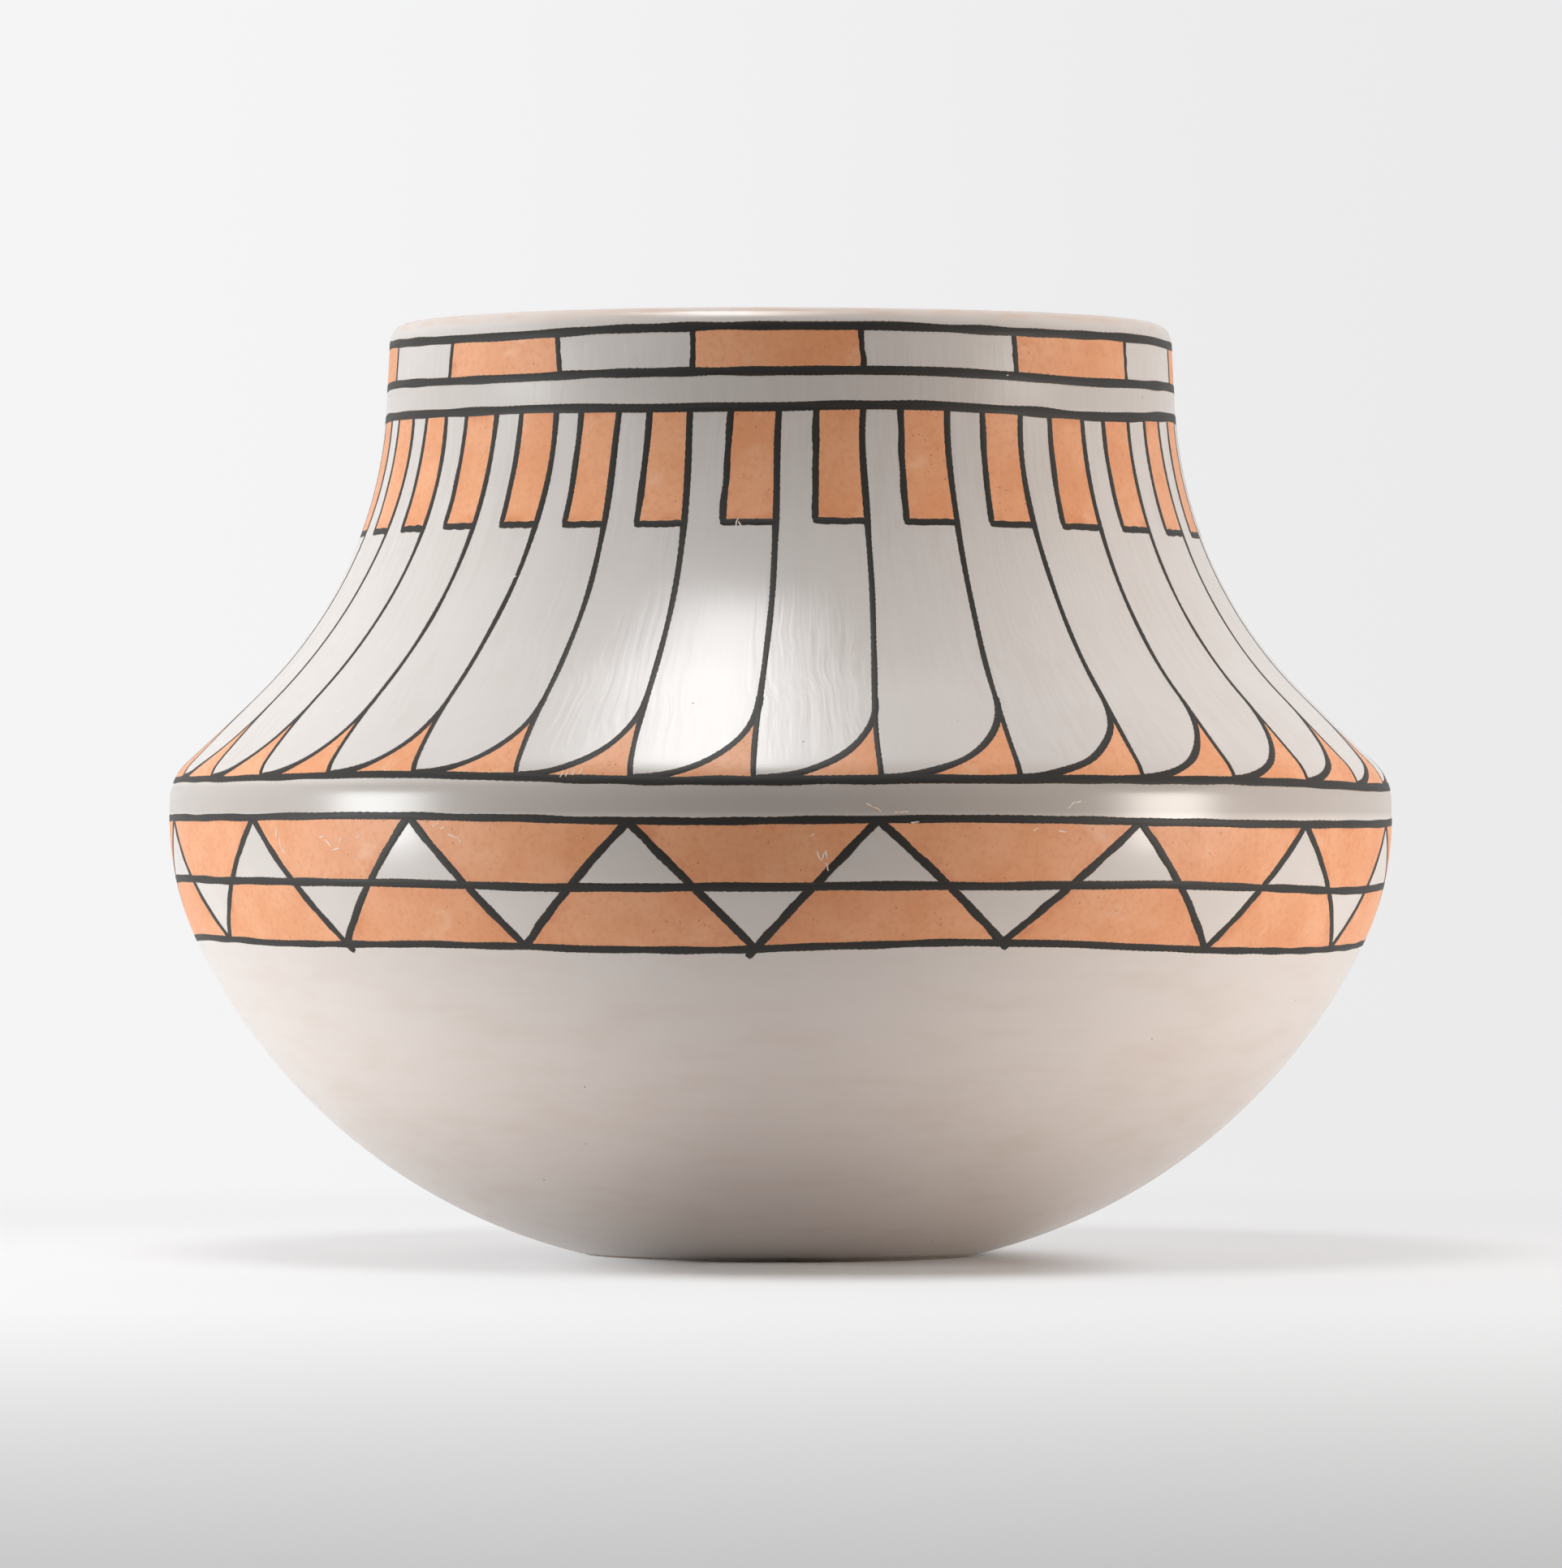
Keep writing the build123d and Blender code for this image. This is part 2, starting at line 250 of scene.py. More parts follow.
def find_bowl_center():
    """Centre of the bowl curve, which passes the base edge and runs smoothly into the belly curve."""
    base_edge = np.array([base_radius, 0.0])
    across = belly_center - base_edge
    spacing = np.linalg.norm(across)
    center_spacing = bowl_curve_radius - belly_curve_radius
    along = (bowl_curve_radius**2 - center_spacing**2 + spacing**2) / (2 * spacing)
    aside = math.sqrt(bowl_curve_radius**2 - along**2)
    unit = across / spacing
    return base_edge + unit * along + np.array([-unit[1], unit[0]]) * aside


bowl_center = find_bowl_center()
bowl_join = math.degrees(math.atan2(*(belly_center - bowl_center)[::-1]))
floor_height = bowl_center[1] - (bowl_curve_radius - clay_inside) + floor_fill


def curve(center, radius, start_lean, end_lean, step=profile_step):
    """Points and leans along a round stretch of wall. A hollow stretch has a negative radius."""
    turn = abs(end_lean - start_lean)
    steps = max(turn / profile_turn, math.radians(turn) * abs(radius) / step)
    leans = np.linspace(start_lean, end_lean, math.ceil(steps) + 1)
    spread = np.stack([np.cos(np.radians(leans)), np.sin(np.radians(leans))], axis=1)
    return center + radius * spread, leans


def straight(start, end, lean, step):
    """Points and leans between the ends of a straight stretch of wall."""
    count = math.ceil(np.linalg.norm(end - start) / step)
    shares = np.linspace(0, 1, count + 1)[1:-1, None]
    return start + (end - start) * shares, np.full(len(shares), lean)


def neck_end(inset):
    """Top of the neck at this inset, beside the middle of the lip."""
    return neck_top - out_of_wall(neck_angle) * inset


def outline(inset, foot_height, step=profile_step):
    """Points and leans of the profile, moved inward by the inset, from the foot height to the lip."""
    bowl_radius = bowl_curve_radius - inset
    foot_lean = math.degrees(math.asin((foot_height - bowl_center[1]) / bowl_radius))
    bowl = curve(bowl_center, bowl_radius, foot_lean, bowl_join, step)
    belly = curve(belly_center, belly_curve_radius - inset, bowl_join, 0, step)
    shoulder = curve(shoulder_center, shoulder_curve_radius - inset, 0, shoulder_angle, step)
    neck = curve(neck_center, -neck_curve_radius - inset, shoulder_angle, neck_angle, step)
    side = straight(belly[0][-1], shoulder[0][0], 0, step)
    cone = straight(shoulder[0][-1], neck[0][0], shoulder_angle, step)
    top = straight(neck[0][-1], neck_end(inset), neck_angle, step)
    end = (neck_end(inset)[None], [neck_angle])
    stretches = (bowl, (belly[0][1:], belly[1][1:]), side, shoulder, cone, neck, top, end)
    points, leans = zip(*stretches)
    return joined(*points), joined(*leans)


def lip(outer_inset, inner_inset):
    """Points and leans of the half round over the top of the neck, from outside to inside."""
    center = neck_end((outer_inset + inner_inset) / 2)
    return curve(center, (inner_inset - outer_inset) / 2, neck_angle, neck_angle + 180)


def join_outside():
    """Heights, radii and leans up the outside and over the outer half of the lip."""
    wall_points, wall_leans = outline(0, 0)
    lip_points, lip_leans = lip(0, mouth_face)
    rising = lip_leans < 90
    points = joined(wall_points, lip_points[rising][1:])
    leans = joined(wall_leans, lip_leans[rising][1:])
    return points[:, 1], points[:, 0], leans


outside_heights, outside_radii, outside_leans = join_outside()


def radius_at(heights):
    return np.interp(heights, outside_heights, outside_radii)


def lean_at(heights):
    return np.radians(np.interp(heights, outside_heights, outside_leans))


def hand_wave(angles, heights):
    """How far the wall stands in or out from a true circle."""
    turns = np.radians(angles)
    rise = np.clip(heights / belly_height, 0, 1)
    oval = 0
    for share, count, phase, climb in wall_waves:
        oval = oval + share * np.sin(count * turns + phase + heights / climb)
    return roundness_error * rise * oval


def lip_wave(angles, heights):
    """How far the top of the lip dips below level."""
    turns = np.radians(angles)
    growth = np.clip((heights - lip_height + lip_dip_start) / lip_dip_reach, 0, 1)
    dip = lip_dip_share
    for share, count, phase in lip_waves:
        dip = dip + share * np.sin(count * turns + phase)
    return -lip_dip * growth * dip


def in_space(angles, radii, heights):
    """Points in metres from angles round the jar, radii and heights."""
    turns = np.radians(angles)
    radii = radii + hand_wave(angles, heights)
    heights = heights + lip_wave(angles, heights)
    return np.stack([radii * np.sin(turns), -radii * np.cos(turns), heights], axis=-1) * MM


def on_jar(angles, heights, rise):
    """Points in metres that stand off the face of the slip by a rise."""
    lean = lean_at(heights)
    return in_space(angles, radius_at(heights) + rise * np.cos(lean), heights + rise * np.sin(lean))


# Randomness is seeded, so every run paints the same jar
def ripple(shares, cycles, random, parts=6):
    """Smooth random wave of unit spread that closes on itself as the share goes from 0 to 1."""
    cycles = max(int(cycles), 2)
    counts = random.integers(max(cycles // 2, 1), cycles * 3 // 2 + 1, parts)
    phases = random.uniform(0, 2 * math.pi, parts)
    waves = np.sin(2 * math.pi * np.multiply.outer(shares, counts) + phases)
    return waves.sum(axis=-1) / math.sqrt(parts / 2)


def round_wave(readings, random):
    """Function that gives a height at any angle: read across the front, and like it behind."""
    behind_count = 360 // reading_pitch - len(readings)
    behind = np.mean(readings) + random.normal(0, np.std(readings) / 2, behind_count)
    values = joined(readings, behind)
    waves = np.fft.rfft(values) / len(values)
    waves[1 : (len(values) + 1) // 2] *= 2

    def height_at(angles):
        shares = (np.asarray(angles, float) - reading_start) / 360
        turns = np.exp(2j * math.pi * np.multiply.outer(shares, np.arange(len(waves))))
        return (turns * waves).sum(axis=-1).real

    return height_at


def all_round(front_angles, count, random, jitter):
    """Angles across the front as read, and then evenly round the back with a little error."""
    gap = front_angles[0] + 360 - front_angles[-1]
    behind_count = count - len(front_angles)
    pitch = gap / (behind_count + 1)
    behind = front_angles[-1] + pitch * np.arange(1, behind_count + 1)
    return joined(front_angles, behind + random.uniform(-jitter, jitter, behind_count))


# Meshes: every piece is made of tubes, each a row of closed loops of points
cap_width = 0.002  # end faces take a sliver of the map
cell_fill = 0.9  # of a map cell's width and height
weld_distance = 1e-7
crease_angle = 40.0  # a sharper edge than this isn't smoothed over


class Tube:
    """Loops of points joined one to the next, with brush marks and a place on the bake's map."""

    def __init__(self, points, brush, closed=False, around=None, cell_length=None):
        self.points = points
        self.brush = brush
        self.closed = closed
        self.loops, self.sides = points.shape[:2]
        self.around = np.linspace(0, 1, self.sides + 1) if around is None else around
        self.cell_length = cell_length or self.loops
        self.spans = self.loops if closed else self.loops - 1
        self.cells = math.ceil(self.spans / self.cell_length)

    def faces(self, first_point, first_cell):
        """Corner points of each face, and the map cell and place in it of each corner."""
        step, side = np.meshgrid(np.arange(self.spans), np.arange(self.sides), indexing="ij")
        here = first_point + step * self.sides
        there = first_point + (step + 1) % self.loops * self.sides
        after = (side + 1) % self.sides
        corners = np.stack([here + side, there + side, there + after, here + after], axis=-1)
        cell = first_cell + step // self.cell_length
        left = step % self.cell_length / self.cell_length
        right = left + 1 / self.cell_length
        low, high = self.around[side], self.around[side + 1]
        ends = ((left, low), (right, low), (right, high), (left, high))
        places = np.stack([np.stack((cell, *end), axis=-1) for end in ends], axis=-2).reshape(-1, 3)
        corners = corners.reshape(-1, 4).tolist()
        if not self.closed:
            around = self.around[:-1]
            bulge = cap_width * np.sin(math.pi * around)
            for loop, end_cell in ((0, first_cell), (self.loops - 1, first_cell + self.cells - 1)):
                first_corner = first_point + loop * self.sides
                corners.append(list(range(first_corner, first_corner + self.sides)))
                cap = np.stack([np.full(self.sides, end_cell), bulge, around], axis=-1)
                places = joined(places, cap)
        return corners, places


def map_places(places, cell_count, cell_shape):
    """Places on the bake's map of corners that have a cell and a place in that cell."""
    columns = max(1, round(math.sqrt(cell_count / cell_shape)))
    rows = math.ceil(cell_count / columns)
    cell, along, across = places.T
    margin = (1 - cell_fill) / 2
    right = (cell % columns + margin + cell_fill * along) / columns
    up = (cell // columns + margin + cell_fill * across) / rows
    return np.stack([right, up], axis=-1)


def mend_mesh(mesh):
    """Welds points that meet on the axis, drops flat faces and turns every face outward."""
    form = bmesh.new()
    form.from_mesh(mesh)
    bmesh.ops.remove_doubles(form, verts=form.verts, dist=weld_distance)
    bmesh.ops.dissolve_degenerate(form, edges=form.edges, dist=weld_distance)
    bmesh.ops.recalc_face_normals(form, faces=form.faces)
    for face in form.faces:
        face.smooth = True
    form.to_mesh(mesh)
    form.free()
    mesh.set_sharp_from_angle(angle=math.radians(crease_angle))


def add_object(name, data):
    """New object in the scene from a mesh, lamp or camera."""
    made = bpy.data.objects.new(name, data)
    bpy.context.scene.collection.objects.link(made)
    return made


def make_piece(name, tubes, material, node=None, cell_shape=1.0):
    """One piece from tubes, which stands for a node. Map cells are cell_shape times longer than wide."""
    corners = []
    places = []
    point_count = 0
    cell_count = 0
    for tube in tubes:
        tube_corners, tube_places = tube.faces(point_count, cell_count)
        corners += tube_corners
        places.append(tube_places)
        point_count += tube.loops * tube.sides
        cell_count += tube.cells
    points = np.concatenate([tube.points.reshape(-1, 3) for tube in tubes])
    brush = np.concatenate([tube.brush.reshape(-1, 3) for tube in tubes])
    mesh = bpy.data.meshes.new(name)
    mesh.from_pydata(points.tolist(), [], corners)
    mesh.attributes.new("brush", "FLOAT_VECTOR", "POINT").data.foreach_set("vector", brush.ravel())
    bake_map = map_places(np.concatenate(places), cell_count, cell_shape)
    mesh.uv_layers.new(name="OFBake").data.foreach_set("uv", bake_map.ravel())
    mend_mesh(mesh)
    mesh.materials.append(material)
    piece = add_object(name, mesh)
    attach(piece, "root")
    if node:
        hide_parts(node)


# Materials
noise_roughness = 0.55


def linear(red, green, blue):
    """Colour for a shader from the red, green and blue that a screen shows, 0 to 255."""
    shown = np.array([red, green, blue]) / 255
    light = np.where(shown <= 0.04045, shown / 12.92, ((shown + 0.055) / 1.055) ** 2.4)
    return (*light, 1.0)


class Nodes:
    """Short ways to add nodes to the tree of a material or a world."""

    def __init__(self, tree):
        self.tree = tree

    def feed(self, socket, value):
        """Sets a socket to a value, or links it to the socket that feeds it."""
        if isinstance(value, bpy.types.NodeSocket):
            self.tree.links.new(value, socket)
        else:
            socket.default_value = value

    def add(self, kind, inputs=None, **settings):
        """A shader node with these settings and inputs."""
        node = self.tree.nodes.new(f"ShaderNode{kind}")
        for setting, value in settings.items():
            setattr(node, setting, value)
        for key, value in (inputs or {}).items():
            self.feed(node.inputs[key], value)
        return node

    def out(self, output, kind, inputs=None, **settings):
        """One output of a new node."""
        return self.add(kind, inputs, **settings).outputs[output]

    def math(self, operation, first, second=0.0):
        return self.out("Value", "Math", {0: first, 1: second}, operation=operation)

    def times(self, first, second):
        return self.math("MULTIPLY", first, second)

    def part(self, vector, axis):
        """One of the three parts of a vector."""
        return self.out(axis, "SeparateXYZ", {"Vector": vector})

    def seen_by(self, *rays):
        """1 for these kinds of rays, such as Camera, and 0 for others."""
        path = self.add("LightPath")
        seen = 0.0
        for ray in rays:
            seen = self.math("MAXIMUM", seen, path.outputs[f"Is {ray} Ray"])
        return seen

    def ramp(self, value, ends, results=(0.0, 1.0)):
        """A value moved from one range to another, with soft ends."""
        sockets = ("Value", "From Min", "From Max", "To Min", "To Max")
        inputs = dict(zip(sockets, (value, *ends, *results)))
        return self.out("Result", "MapRange", inputs, interpolation_type="SMOOTHSTEP")

    # The sockets of a Mix node share their names, so they are picked by number
    def mix(self, share, first, second):
        """Colour between two colours."""
        return self.out(2, "Mix", {0: share, 6: first, 7: second}, data_type="RGBA")

    def mix_shaders(self, share, first, second):
        return self.out("Shader", "MixShader", {0: share, 1: first, 2: second})


class Shader(Nodes):
    """A new material of one colour, and short ways to paint over it."""

    def __init__(self, name, color):
        self.material = bpy.data.materials.new(name)
        self.material.use_nodes = True
        super().__init__(self.material.node_tree)
        self.surface = self.tree.nodes["Principled BSDF"]
        self.color = color

    def position(self):
        return self.out("Object", "TexCoord")

    def brush(self):
        return self.out("Vector", "Attribute", attribute_name="brush")

    def vector_math(self, operation, first, second):
        return self.out("Vector", "VectorMath", {0: first, 1: second}, operation=operation)

    def stretched(self, vector, scale):
        """A vector with each part times its own scale."""
        return self.vector_math("MULTIPLY", vector, scale)

    def length(self, vector):
        return self.out("Value", "VectorMath", {0: vector}, operation="LENGTH")

    def away(self, vector, axis):
        """Distance from the middle along one axis."""
        return self.math("ABSOLUTE", self.part(vector, axis))

    def noise(self, vector, scale, detail=3.0):
        """Soft random pattern, with one scale or with one for each part of the vector."""
        if isinstance(scale, tuple):
            vector = self.stretched(vector, scale)
            scale = 1.0
        inputs = {"Vector": vector, "Scale": scale, "Detail": detail, "Roughness": noise_roughness}
        return self.out("Fac", "TexNoise", inputs)

    def between(self, value, ends, fade):
        """1 where a value lies between two ends and 0 outside them, with soft edges."""
        low, high = ends
        return self.times(self.ramp(value, (low, low + fade)), self.ramp(value, (high, high - fade)))

    def blend(self, share, first, second):
        """Value between two values."""
        return self.out(0, "Mix", {0: share, 2: first, 3: second}, data_type="FLOAT")

    def specks(self, vector, scale, share, size):
        """Small sparse dots: 1 at a dot and 0 between dots."""
        cells = self.add("TexVoronoi", {"Vector": vector, "Scale": scale, "Randomness": 1.0})
        near = self.ramp(cells.outputs["Distance"], (size, size / 2))
        chosen = self.out("Red", "SeparateColor", {"Color": cells.outputs["Color"]})
        return self.times(near, self.math("LESS_THAN", chosen, share))

    def tint(self, color, mask, share=None):
        """Paints a colour over what is there, where the mask says, up to a share."""
        if share is not None:
            mask = self.times(mask, share)
        self.color = self.mix(mask, self.color, color)

    def finish(self, roughness, bump, bump_depth, gloss):
        """Joins colour, roughness and surface height to the shader."""
        self.feed(self.surface.inputs["Base Color"], self.color)
        self.feed(self.surface.inputs["Roughness"], roughness)
        self.surface.inputs["Specular IOR Level"].default_value = gloss
        inputs = {"Height": bump, "Strength": 1.0, "Distance": bump_depth}
        self.feed(self.surface.inputs["Normal"], self.out("Normal", "Bump", inputs))
        return self.material


slip_grey = linear(204, 195, 189)
slip_pale = linear(210, 202, 197)
slip_warm = linear(223, 211, 203)
slip_painted_shade = linear(184, 174, 167)
slip_stain = linear(204, 178, 162)
slip_pit = linear(104, 90, 80)
slip_nick = linear(228, 224, 219)
orange_clay = linear(224, 152, 107)
orange_pale = linear(231, 166, 125)
orange_deep = linear(200, 117, 73)
orange_chalk = linear(236, 192, 162)
orange_speck = linear(158, 80, 48)
black_paint = linear(47, 44, 41)
black_worn = linear(76, 68, 61)
paint_edge = linear(146, 120, 88)
scuff_pale = linear(232, 221, 210)
clay_buff = linear(190, 172, 154)
clay_dark = linear(163, 143, 126)
clay_grit = linear(112, 96, 84)

# Heights on the slip, in metres
bowl_top = 0.064  # the slip is blushed below this
bowl_fade = 0.006
warm_start = 0.100  # the slip grows warmer and lighter below this
warm_end = 0.030
band_fade = 0.002
belly_shade_band = (0.090, 0.0985)  # painted shade: the slip between the belt and the shoulder line is darkened, standing for the shade of this upright band in front
# painted shade on the neck band, between the neck line and the rim's lower line
neck_shade_band = (0.172, 0.181)
neck_shade_share = 0.35  # share of the belly band's painted shade that the neck band gets
lip_edge = 0.190

# Streaks in the slip and clay, in waves per millimetre across the jar, front to back and up the wall
upright_streak = (0.5, 0.5, 0.03)
streak_wander = (0.05, 0.05, 0.06)  # of the polishing stone from its straight way
wander_reach = 3.0  # in waves
level_streak = (0.03, 0.03, 0.5)
level_streak_share = 0.2  # of the strength of upright streaks
blush_streak = (0.04, 0.04, 0.16)
lip_streak = (0.06, 0.06, 0.3)
scrape_streak = (0.05, 0.05, 0.9)

# Streaks in the black, in waves per millimetre along the stroke and waves across half of it
bristle_streak = (0.1, 2.4, 1)
thin_streak = (0.05, 0.3, 1)
thin_least = 0.25  # wear where the paint is thick

# Shares of small marks in the relief, and how marks are drawn out
pit_depth = 0.2
grain_height = 0.5
grit_depth = 0.5
nick_stretch = (1, 1, 0.6)
chalk_stretch = (1, 1, 1.6)


def slip_polish(shader, wall, height):
    """Polishing streaks, upright above the shoulder line and level below it, and how far they show."""
    polished_up = shader.between(height, (belly_shade_band[1], lip_edge), bowl_fade)
    wander = shader.times(shader.noise(wall, streak_wander, detail=1.0), wander_reach)
    wandering = shader.vector_math("ADD", shader.stretched(wall, upright_streak), wander)
    upright = shader.noise(wandering, scale=1.0, detail=2.0)
    level = shader.noise(wall, level_streak, detail=2.0)
    return shader.blend(polished_up, level, upright), shader.blend(polished_up, level_streak_share, 1.0)


def slip_material():
    """Burnished grey slip: polishing streaks, soft clouds, painted shade on the belly and neck bands, a
    stained lip, pits and nicks.
    """
    shader = Shader("slip_burnished", slip_grey)
    position = shader.position()
    wall = shader.brush()
    height = shader.part(position, "Z")
    streak, streak_share = slip_polish(shader, wall, height)
    shader.tint(slip_pale, shader.ramp(shader.noise(position, scale=30, detail=5.0), (0.35, 0.7)))
    warmth = shader.ramp(height, (warm_start, warm_end), (0.0, 0.9))
    shader.tint(slip_warm, warmth, shader.ramp(streak, (0.3, 0.6), (0.85, 1.0)))
    shader.tint(slip_pale, shader.ramp(streak, (0.35, 0.7), (0.0, 0.7)), streak_share)
    # Painted shade: the belly band is darkened all round
    shader.tint(slip_painted_shade, shader.between(height, belly_shade_band, band_fade))
    # Painted shade, fainter, on the neck band
    shader.tint(slip_painted_shade, shader.between(height, neck_shade_band, band_fade), neck_shade_share)
    blush = shader.ramp(shader.noise(wall, blush_streak, detail=5.0), (0.45, 0.75), (0.0, 0.22))
    blush = shader.times(blush, shader.ramp(height, (bowl_top + bowl_fade, bowl_top - bowl_fade)))
    stain = shader.ramp(shader.noise(wall, lip_streak, detail=4.0), (0.4, 0.65), (0.35, 0.9))
    stain = shader.times(stain, shader.ramp(height, (lip_edge, lip_edge + band_fade)))
    shader.tint(slip_stain, shader.math("MAXIMUM", blush, stain))
    pits = shader.specks(position, scale=230, share=0.05, size=0.07)
    nicks = shader.specks(shader.stretched(position, nick_stretch), scale=190, share=0.06, size=0.05)
    shader.tint(slip_pit, pits, share=0.7)
    shader.tint(slip_nick, nicks, share=0.8)
    relief = shader.math("SUBTRACT", shader.times(streak, streak_share), shader.times(pits, pit_depth))
    return shader.finish(roughness=0.25, bump=relief, bump_depth=0.00008, gloss=0.5)


def orange_material():
    """Orange earth paint: brush clouds, chalky rubs, redder edges, and red-brown specks in groups."""
    shader = Shader("orange_paint_burnished", orange_clay)
    position = shader.position()
    brush = shader.brush()
    grain = shader.noise(position, scale=900)
    shader.tint(orange_pale, shader.ramp(shader.noise(position, scale=70, detail=4.0), (0.3, 0.7)))
    from_middle = shader.math("MAXIMUM", shader.away(brush, "X"), shader.away(brush, "Y"))
    patchy = shader.ramp(shader.noise(position, scale=120, detail=4.0), (0.45, 0.68))
    edge = shader.times(shader.ramp(from_middle, (0.72, 1.0)), patchy)
    shader.tint(orange_deep, edge, share=0.6)
    shader.tint(orange_deep, shader.ramp(grain, (0.45, 0.75), (0.0, 0.25)))
    chalk = shader.noise(shader.stretched(position, chalk_stretch), scale=85, detail=6.0)
    shader.tint(orange_chalk, shader.ramp(chalk, (0.58, 0.74), (0.0, 0.4)))
    crowd = shader.ramp(shader.noise(position, scale=55, detail=2.0), (0.4, 0.7), (0.03, 0.3))
    specks = shader.specks(position, scale=800, share=crowd, size=0.18)
    shader.tint(orange_speck, specks, share=0.7)
    roughness = shader.ramp(grain, (0.25, 0.75), (0.44, 0.54))
    relief = shader.math("SUBTRACT", shader.times(grain, grain_height), specks)
    return shader.finish(roughness, relief, bump_depth=0.00003, gloss=0.35)


def black_material():
    """Black brush lines: streaks along the stroke, and a thin tan edge where the paint ran out."""
    shader = Shader("black_paint_brushed", black_paint)
    brush = shader.brush()
    streak = shader.noise(brush, bristle_streak)
    grain = shader.noise(shader.position(), scale=900)
    thin = shader.ramp(shader.noise(brush, thin_streak), (0.55, 0.75), (thin_least, 1.0 + thin_least))
    shader.tint(black_worn, shader.times(shader.ramp(streak, (0.45, 0.75)), thin), share=0.6)
    edge = shader.ramp(shader.away(brush, "Y"), (0.87, 1.0))
    shader.tint(paint_edge, edge, shader.ramp(grain, (0.3, 0.6), (0.2, 0.9)))
    roughness = shader.ramp(streak, (0.3, 0.8), (0.5, 0.64))
    return shader.finish(roughness, grain, bump_depth=0.00002, gloss=0.3)


def clay_material():
    """Bare fired clay: buff and dark clouds, scrape marks round the jar and grains of temper."""
    shader = Shader("clay_scraped", clay_buff)
    position = shader.position()
    scrape = shader.noise(shader.brush(), scrape_streak, detail=4.0)
    grit = shader.specks(position, scale=520, share=0.25, size=0.22)
    shader.tint(clay_dark, shader.ramp(shader.noise(position, scale=22, detail=5.0), (0.3, 0.7)))
    shader.tint(clay_dark, shader.ramp(scrape, (0.5, 0.75), (0.0, 0.35)))
    shader.tint(clay_grit, grit, share=0.6)
    roughness = shader.ramp(scrape, (0.2, 0.8), (0.66, 0.9))
    relief = shader.math("SUBTRACT", scrape, shader.times(grit, grit_depth))
    return shader.finish(roughness, relief, bump_depth=0.0002, gloss=0.4)


def scuff_material():
    """Pale scratched slip under the paint."""
    shader = Shader("scuff_scratched", scuff_pale)
    grain = shader.noise(shader.position(), scale=1500)
    shader.tint(orange_pale, shader.ramp(grain, (0.45, 0.75)))
    roughness = shader.ramp(grain, (0.3, 0.7), (0.6, 0.8))
    return shader.finish(roughness, grain, bump_depth=0.00002, gloss=0.3)


slip = slip_material()
orange = orange_material()
black = black_material()
clay = clay_material()
scuff = scuff_material()


# Clay and slip: closed sections turned round the axis
turn_angles = np.linspace(-180, 180, round_steps, endpoint=False)[:, None]
hidden_share = 0.1  # of a hidden face's length that it takes on the bake's map


def turned(section, shown_points, radial=0.0, vertical=0.0):
    """Tube round the jar from a closed section of (radius, height) points, with shifts by hand."""
    flat = np.zeros((round_steps, len(section)))
    points = in_space(turn_angles, section[:, 0] + radial + flat, section[:, 1] + vertical + flat)
    edge_lengths = np.linalg.norm(np.roll(section, -1, axis=0) - section, axis=1)
    along = joined([0], np.cumsum(edge_lengths))[:-1]
    edge_lengths[shown_points:] *= hidden_share
    around = joined([0], np.cumsum(edge_lengths)) / edge_lengths.sum()
    turns = np.radians(turn_angles) + flat
    brush = np.stack([belly_radius * np.sin(turns), belly_radius * np.cos(turns), along + flat], axis=-1)
    return Tube(points, brush, closed=True, around=around)


def mouth_part(inset, step):
    """Points of the mouth's inner face at this inset, going down from the lip."""
    points = outline(inset, floor_height, step)[0]
    return points[points[:, 1] > lip_height - slip_mouth_depth][::-1]


def slip_tube():
    """The slip: outside, over the lip and a little way down the mouth, with a brushed lower edge."""
    outside = outline(0, slip_foot_height)[0]
    mouth = mouth_part(mouth_face, profile_step)
    shown = joined(outside, lip(0, mouth_face)[0][1:-1], mouth)
    mouth_back = mouth_part(mouth_under, profile_step)[::-1]
    under_lip = lip(slip_thickness, mouth_under)[0][1:-1][::-1]
    inner = outline(slip_thickness, slip_foot_height, hidden_step)[0][::-1]
    section = joined(shown, mouth_back, under_lip, inner)
    in_mouth = np.zeros(len(section), bool)
    in_mouth[len(shown) - len(mouth) : len(shown) + len(mouth_back)] = True
    depth = np.where(in_mouth, np.clip((lip_height - section[:, 1]) / slip_mouth_depth, 0, 1), 0)
    edge = ripple(turn_angles / 360, mouth_edge_waves, np.random.default_rng(seed=10))
    return turned(section, len(shown), vertical=mouth_edge_error * edge * depth**3)


make_piece("slip_coat_burnished", [slip_tube()], slip, "slip_coat")


def clay_seams():
    """Lower and upper seam of each clay piece."""
    belly_seam = belly_height - belly_coil_height / 2
    rim_seam = lip_height - rim_coil_height
    neck_seam = rim_seam - neck_coil_height
    places = ("lower", "middle", "upper")
    bowl = np.linspace(base_seam_height, belly_seam, len(places) + 1)
    shoulder = np.linspace(belly_seam + belly_coil_height, neck_seam, len(places) + 1)
    seams = {"moulded_base": (0, base_seam_height), "belly_coil": (bowl[-1], shoulder[0])}
    for i, place in enumerate(places):
        seams[f"bowl_coil_{place}"] = (bowl[i], bowl[i + 1])
        seams[f"shoulder_coil_{place}"] = (shoulder[i], shoulder[i + 1])
    seams["neck_coil"] = (neck_seam, rim_seam)
    seams["rim_coil"] = (rim_seam, lip_height)
    return seams


def between(points, low, high):
    """Points of a rising outline between two heights, with its ends cut level at both."""
    radii = np.interp((low, high), points[:, 1], points[:, 0])
    inner = points[(points[:, 1] > low) & (points[:, 1] < high)]
    return joined([(radii[0], low)], inner, [(radii[1], high)])


